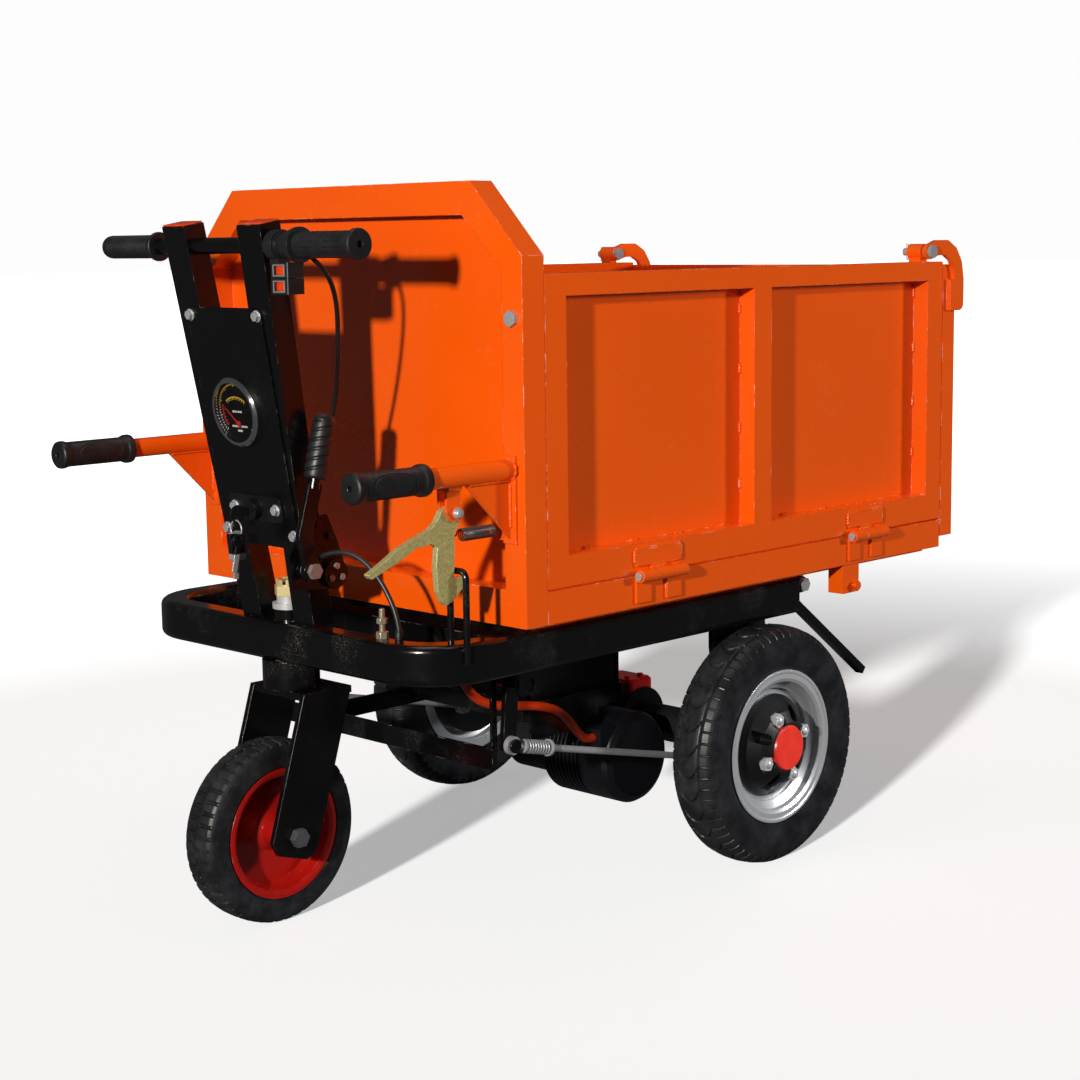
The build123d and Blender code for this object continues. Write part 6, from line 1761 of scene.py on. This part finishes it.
    def build(self) -> None:
        """Builds the dial, caps, frames and grips, and dresses the column's pieces."""
        self._dial()
        self._caps()
        self._switch_frames()
        self._grips()
        dress(BLACK, ["column_channels", "column_cover", "handlebar", "handbrake_lever"])
        # the bracket's bolts are tinted red: a painted reflection of the orange hopper
        dress(BRACKET_BOLTS_WITH_PAINTED_REFLECTION, ["handbrake_bracket"])
        dress(CLEAR_ZINC, ["cover_bolts"])
        dress(BLACK_ABS, ["ignition_lock", "ignition_key"])
        dress(KEY_PLATE, ["key_ring"])
        dress(SMOKE_ABS, ["throttle_housing"])
        dress(POD_ABS, ["switch_pods"])
        dress(ORANGE_ABS, ["upper_rocker", "lower_rocker"])
        dress(CHROME, ["gauge_case"])
        dress(DIAL_RED, ["gauge_needle"])
        dress(GLASS, ["gauge_lens"])


@dataclass
class Chassis:
    """Frame, batteries, axle, motor and brake linkage."""

    def build(self) -> None:
        """Dresses the chassis."""
        dress(SCUFFED_BLACK, ["chassis_frame"])
        dress(BLACK, ["brake_shaft"])
        dress(BATTERY_ABS, ["batteries"])
        dress(ALLOY, ["motor_controller"])
        dress(MOTOR_PAINT, ["drive_motor"])
        dress(DARK_CAST, ["axle_housing", "brake_plates"])
        dress(RED, ["gear_cover"])
        dress(CLEAR_ZINC, ["brake_rods", "drum_levers"])


@dataclass
class Hopper:
    """Tipping body with its walls, handles and latch."""

    grip_start: float = -628.5
    grip_radius: float = 18.1
    grip_step: float = 0.7
    grip_segments: int = 160
    # relief is cut only where a sleeve has its full radius, to within this
    grip_skin: float = 0.2
    oval_middle: float = 60.0
    oval_half: Pair = (36.0, 0.92)
    # shares of the oval's size: where it ends, the groove along its rim, and the field of dots
    oval_edge: float = 1.06
    oval_rim: Point = (0.97, 0.055, 0.025)
    oval_field: Pair = (0.84, 0.04)
    rim_cut: float = 0.8
    # the oval's dots and the fine rings are drawn coarser than the real ones so that they show
    dots_round: int = 40
    dots_pitch: float = 2.8
    dots_cut: float = 0.5
    ring_pitch: float = 3.0
    ring_cut: float = 0.55
    ring_ends: tuple[float, float, float, float] = (17.0, 104.0, 2.0, 2.0)
    handle_y: float = 324.0
    handle_z: float = 642.0
    tube_radius: float = 14.0
    wall_plate_x: float = -358.5
    # the gussets' beads: along the tube, down the wall plate, half the gap between the two flanks, and
    # how far they lie into the tube and off the plate
    gusset: Pair = (-434.5, -360.0)
    gusset_weld: Pair = (64.0, 4.0)
    gusset_half: float = 3.2
    gusset_off: Pair = (0.4, 0.8)
    panel_face: float = 350.0
    skin_face: float = 322.0
    sill: float = 521.0
    stile_edges: tuple[float, ...] = (-273.5, 118.5, 158.5, 558.5)
    leaf_spans: tuple[Pair, ...] = ((-143.5, -49.5), (348.5, 434.5))
    leaf_top: float = 513.0
    leaf_side: float = 21.0
    # how far the leaves' beads lie off the panel and above the leaf
    leaf_off: Pair = (1.2, 0.8)
    # stitch welds: heights on the stiles with a shift from stile to stile, and shares of the sill's spans
    stitch_heights: tuple[float, ...] = (566, 648, 735, 822)
    stitch_shift: float = 5.0
    stitch_length: float = 17.0
    sill_shares: tuple[float, ...] = (0.14, 0.38, 0.62, 0.86)
    sill_stitch: float = 18.0
    bead_radius: float = 3.0
    # how far a bead's middle lies off the corner that it fills
    bead_off: float = 1.0
    bead_step: float = 0.8
    bead_steps_least: int = 4
    bead_sides: int = 8
    # least share of its section that a bead keeps at its ends
    bead_tip: float = 0.06
    bead_mean: float = 0.84
    ripple: float = 0.10
    ripple_pitch: float = 4.2
    drift: float = 0.06
    drift_rate: float = 0.61
    tube_stitches: int = 10
    latch_pivot: Point = (-449.5, -323.0, 594.0)
    rivet_outline: Outline = (
        (0.0, 0.3), (0.0, 7.6), (0.8, 7.9), (1.6, 7.2), (2.2, 6.4), (4.6, 6.0), (6.0, 5.0), (6.7, 3.2),
        (7.0, 0.3),
    )
    rivet_segments: int = 48

    def _grip_depth(self, turn: float, along: float, radius: float) -> float:
        """Depth of the fine rings and the dotted ovals on a tip-handle grip.

        Args:
            turn: Angle round the handle in radians.
            along: Distance from the grip's outer end.
            radius: Distance from the handle's line before cutting.

        Returns:
            Depth in millimetres.
        """
        if abs(radius - self.grip_radius) > self.grip_skin:
            return 0.0
        aside = math.asin(max(-1.0, min(1.0, math.sin(turn))))
        oval = math.hypot((along - self.oval_middle) / self.oval_half[0], aside / self.oval_half[1])
        if oval < self.oval_edge:
            middle, half, blend = self.oval_rim
            rim = groove_share(abs(oval - middle), half, blend)
            dots = crest(turn * self.dots_round) * crest(FULL_TURN * along / self.dots_pitch)
            return self.rim_cut * rim + self.dots_cut * dots * groove_share(oval, *self.oval_field)
        rings = 1 - crest(FULL_TURN * along / self.ring_pitch)
        return self.ring_cut * rings * between(along, *self.ring_ends)

    def _grips(self) -> None:
        """Moulds the grips of the tip handles."""
        corners = [
            (6, 0.3), (6, 4), (0.5, 4), (0, 4.6), (0, 15.5), (0.6, 17.6), (2.2, 19.4), (4.6, 20), (9, 20),
            (11, 19.4), (13, 18.3), (15, 18.1), (106, 18.1), (109, 18.7), (111.5, 20.4), (114, 21),
            (119.5, 21), (121.3, 20.5), (122, 19.4), (122, 14.1),
        ]
        outline = fill_outline(corners, self.grip_step) + [(8.9, 14.1), (8.9, 0.3)]
        plan = MeshPlan()
        for side in Side:
            start = (self.grip_start, side.value * self.handle_y, self.handle_z)
            turned = TurnedRelief(start, (1, 0, 0), outline, self.grip_segments, self._grip_depth)
            plan.loft(turned.rings(), closed=True)
        settle(plan.piece("tip_handle_sleeves"), "hopper", [GRIP], ["handle_grips"])

    def _bead(self, plan: MeshPlan, start: Point, end: Point) -> None:
        """Lays a weld bead with its ripples between two points.

        Args:
            plan: The mesh that it joins.
            start: Middle of the bead's one end.
            end: Middle of its other end.
        """
        way = Vector(end) - Vector(start)
        axis = way.normalized()
        level = level_across(axis)
        third = axis.cross(level)
        radius = self.bead_radius
        count = max(self.bead_steps_least, round(way.length / self.bead_step))
        rings = []
        for step in range(count + 1):
            along = way.length * step / count
            swell = self.bead_mean + self.ripple * math.cos(FULL_TURN * along / self.ripple_pitch)
            swell += self.drift * math.sin(along * self.drift_rate)
            ends = min(1.0, along / radius) * min(1.0, (way.length - along) / radius)
            taper = math.sqrt(max(self.bead_tip, ends))
            middle = Vector(start) + axis * along
            ring = []
            for k in range(self.bead_sides):
                turn = FULL_TURN * k / self.bead_sides
                out = level * math.cos(turn) + third * math.sin(turn)
                ring.append(middle + out * radius * swell * taper)
            rings.append(ring)
        plan.loft(rings)

    def _handle_welds(self) -> None:
        """Lays the beads round the handles' tubes and along their gussets."""
        plan = MeshPlan()
        reach = self.tube_radius + self.bead_off
        low = self.handle_z - self.tube_radius + self.gusset_off[0]
        wall_x = self.wall_plate_x - self.bead_off
        foot_x = self.wall_plate_x - self.gusset_off[1]
        turns = [FULL_TURN * k / self.tube_stitches for k in range(self.tube_stitches + 1)]
        around = [(reach * math.cos(turn), self.handle_z + reach * math.sin(turn)) for turn in turns]
        for side in Side:
            y = side.value * self.handle_y
            spots = [(wall_x, y + aside, z) for aside, z in around]
            for start, end in zip(spots, spots[1:]):
                self._bead(plan, start, end)
            for aside in (y - self.gusset_half, y + self.gusset_half):
                self._bead(plan, (self.gusset[0], aside, low), (self.gusset[1], aside, low))
                bottom, top = (low - drop for drop in self.gusset_weld)
                self._bead(plan, (foot_x, aside, bottom), (foot_x, aside, top))
        settle(plan.piece("handle_weld_beads"), "hopper", [ORANGE])

    def _panel_welds(self, side: Side) -> None:
        """Lays the stitch welds of one side panel and the beads round its hinge leaves.

        Args:
            side: The panel's side.
        """
        plan = MeshPlan()
        off = self.bead_off
        skin = side.value * (self.skin_face + off)
        leaf = side.value * (self.panel_face + self.leaf_off[0])
        for index, edge in enumerate(self.stile_edges):
            x = edge + (off if index % 2 == 0 else -off)
            for height in self.stitch_heights:
                low = height + self.stitch_shift * index
                self._bead(plan, (x, skin, low), (x, skin, low + self.stitch_length))
        for first, last in zip(self.stile_edges[::2], self.stile_edges[1::2]):
            for share in self.sill_shares:
                x = first + (last - first) * share
                self._bead(plan, (x, skin, self.sill + off), (x + self.sill_stitch, skin, self.sill + off))
        high = self.leaf_top + self.leaf_off[1]
        for first, last in self.leaf_spans:
            self._bead(plan, (first - off, leaf, high), (last + off, leaf, high))
            for x in (first - off, last + off):
                self._bead(plan, (x, leaf, high - self.leaf_side), (x, leaf, high))
        piece = plan.piece(f"panel_weld_beads_{side.word}")
        settle(piece, f"{side.word}_panel", [ORANGE])

    def _rivet(self) -> None:
        """Sets the domed head of the latch's pivot on its bracket."""
        turned = TurnedRelief(self.latch_pivot, (0, -1, 0), self.rivet_outline, self.rivet_segments)
        settle(turned.piece("latch_pivot_head"), "hopper", [CLEAR_ZINC])

    def build(self) -> None:
        """Moulds the grips, lays the welds, sets the rivet and dresses the hopper."""
        self._grips()
        self._handle_welds()
        for side in Side:
            self._panel_welds(side)
        self._rivet()
        dress(ORANGE, ["hopper_floor", "front_wall", "tip_handles", "tailgate"])
        dress(ORANGE, [f"side_panel_{side.word}" for side in Side])
        dress(CLEAR_ZINC, ["hopper_bolts", "panel_hinge_pins", "tailgate_pins"])
        dress(YELLOW_ZINC, ["latch_lever"])


def main() -> None:
    """Builds the sub-assemblies in order."""
    logging.basicConfig(level=logging.INFO, format="%(name)s: %(message)s")
    studio = Studio()
    for assembly in (studio, Cords(), CoilSprings(), Chassis(), RearWheels(), Caster(), Column(), Hopper()):
        assembly.build()
        LOG.info("built %s", type(assembly).__name__)
    bright = ("rear_rim", "lug_nuts", "rear_hub")
    studio.light_metal([f"{part}_{side.word}" for part in bright for side in Side])


if __name__ == "__main__":
    main()
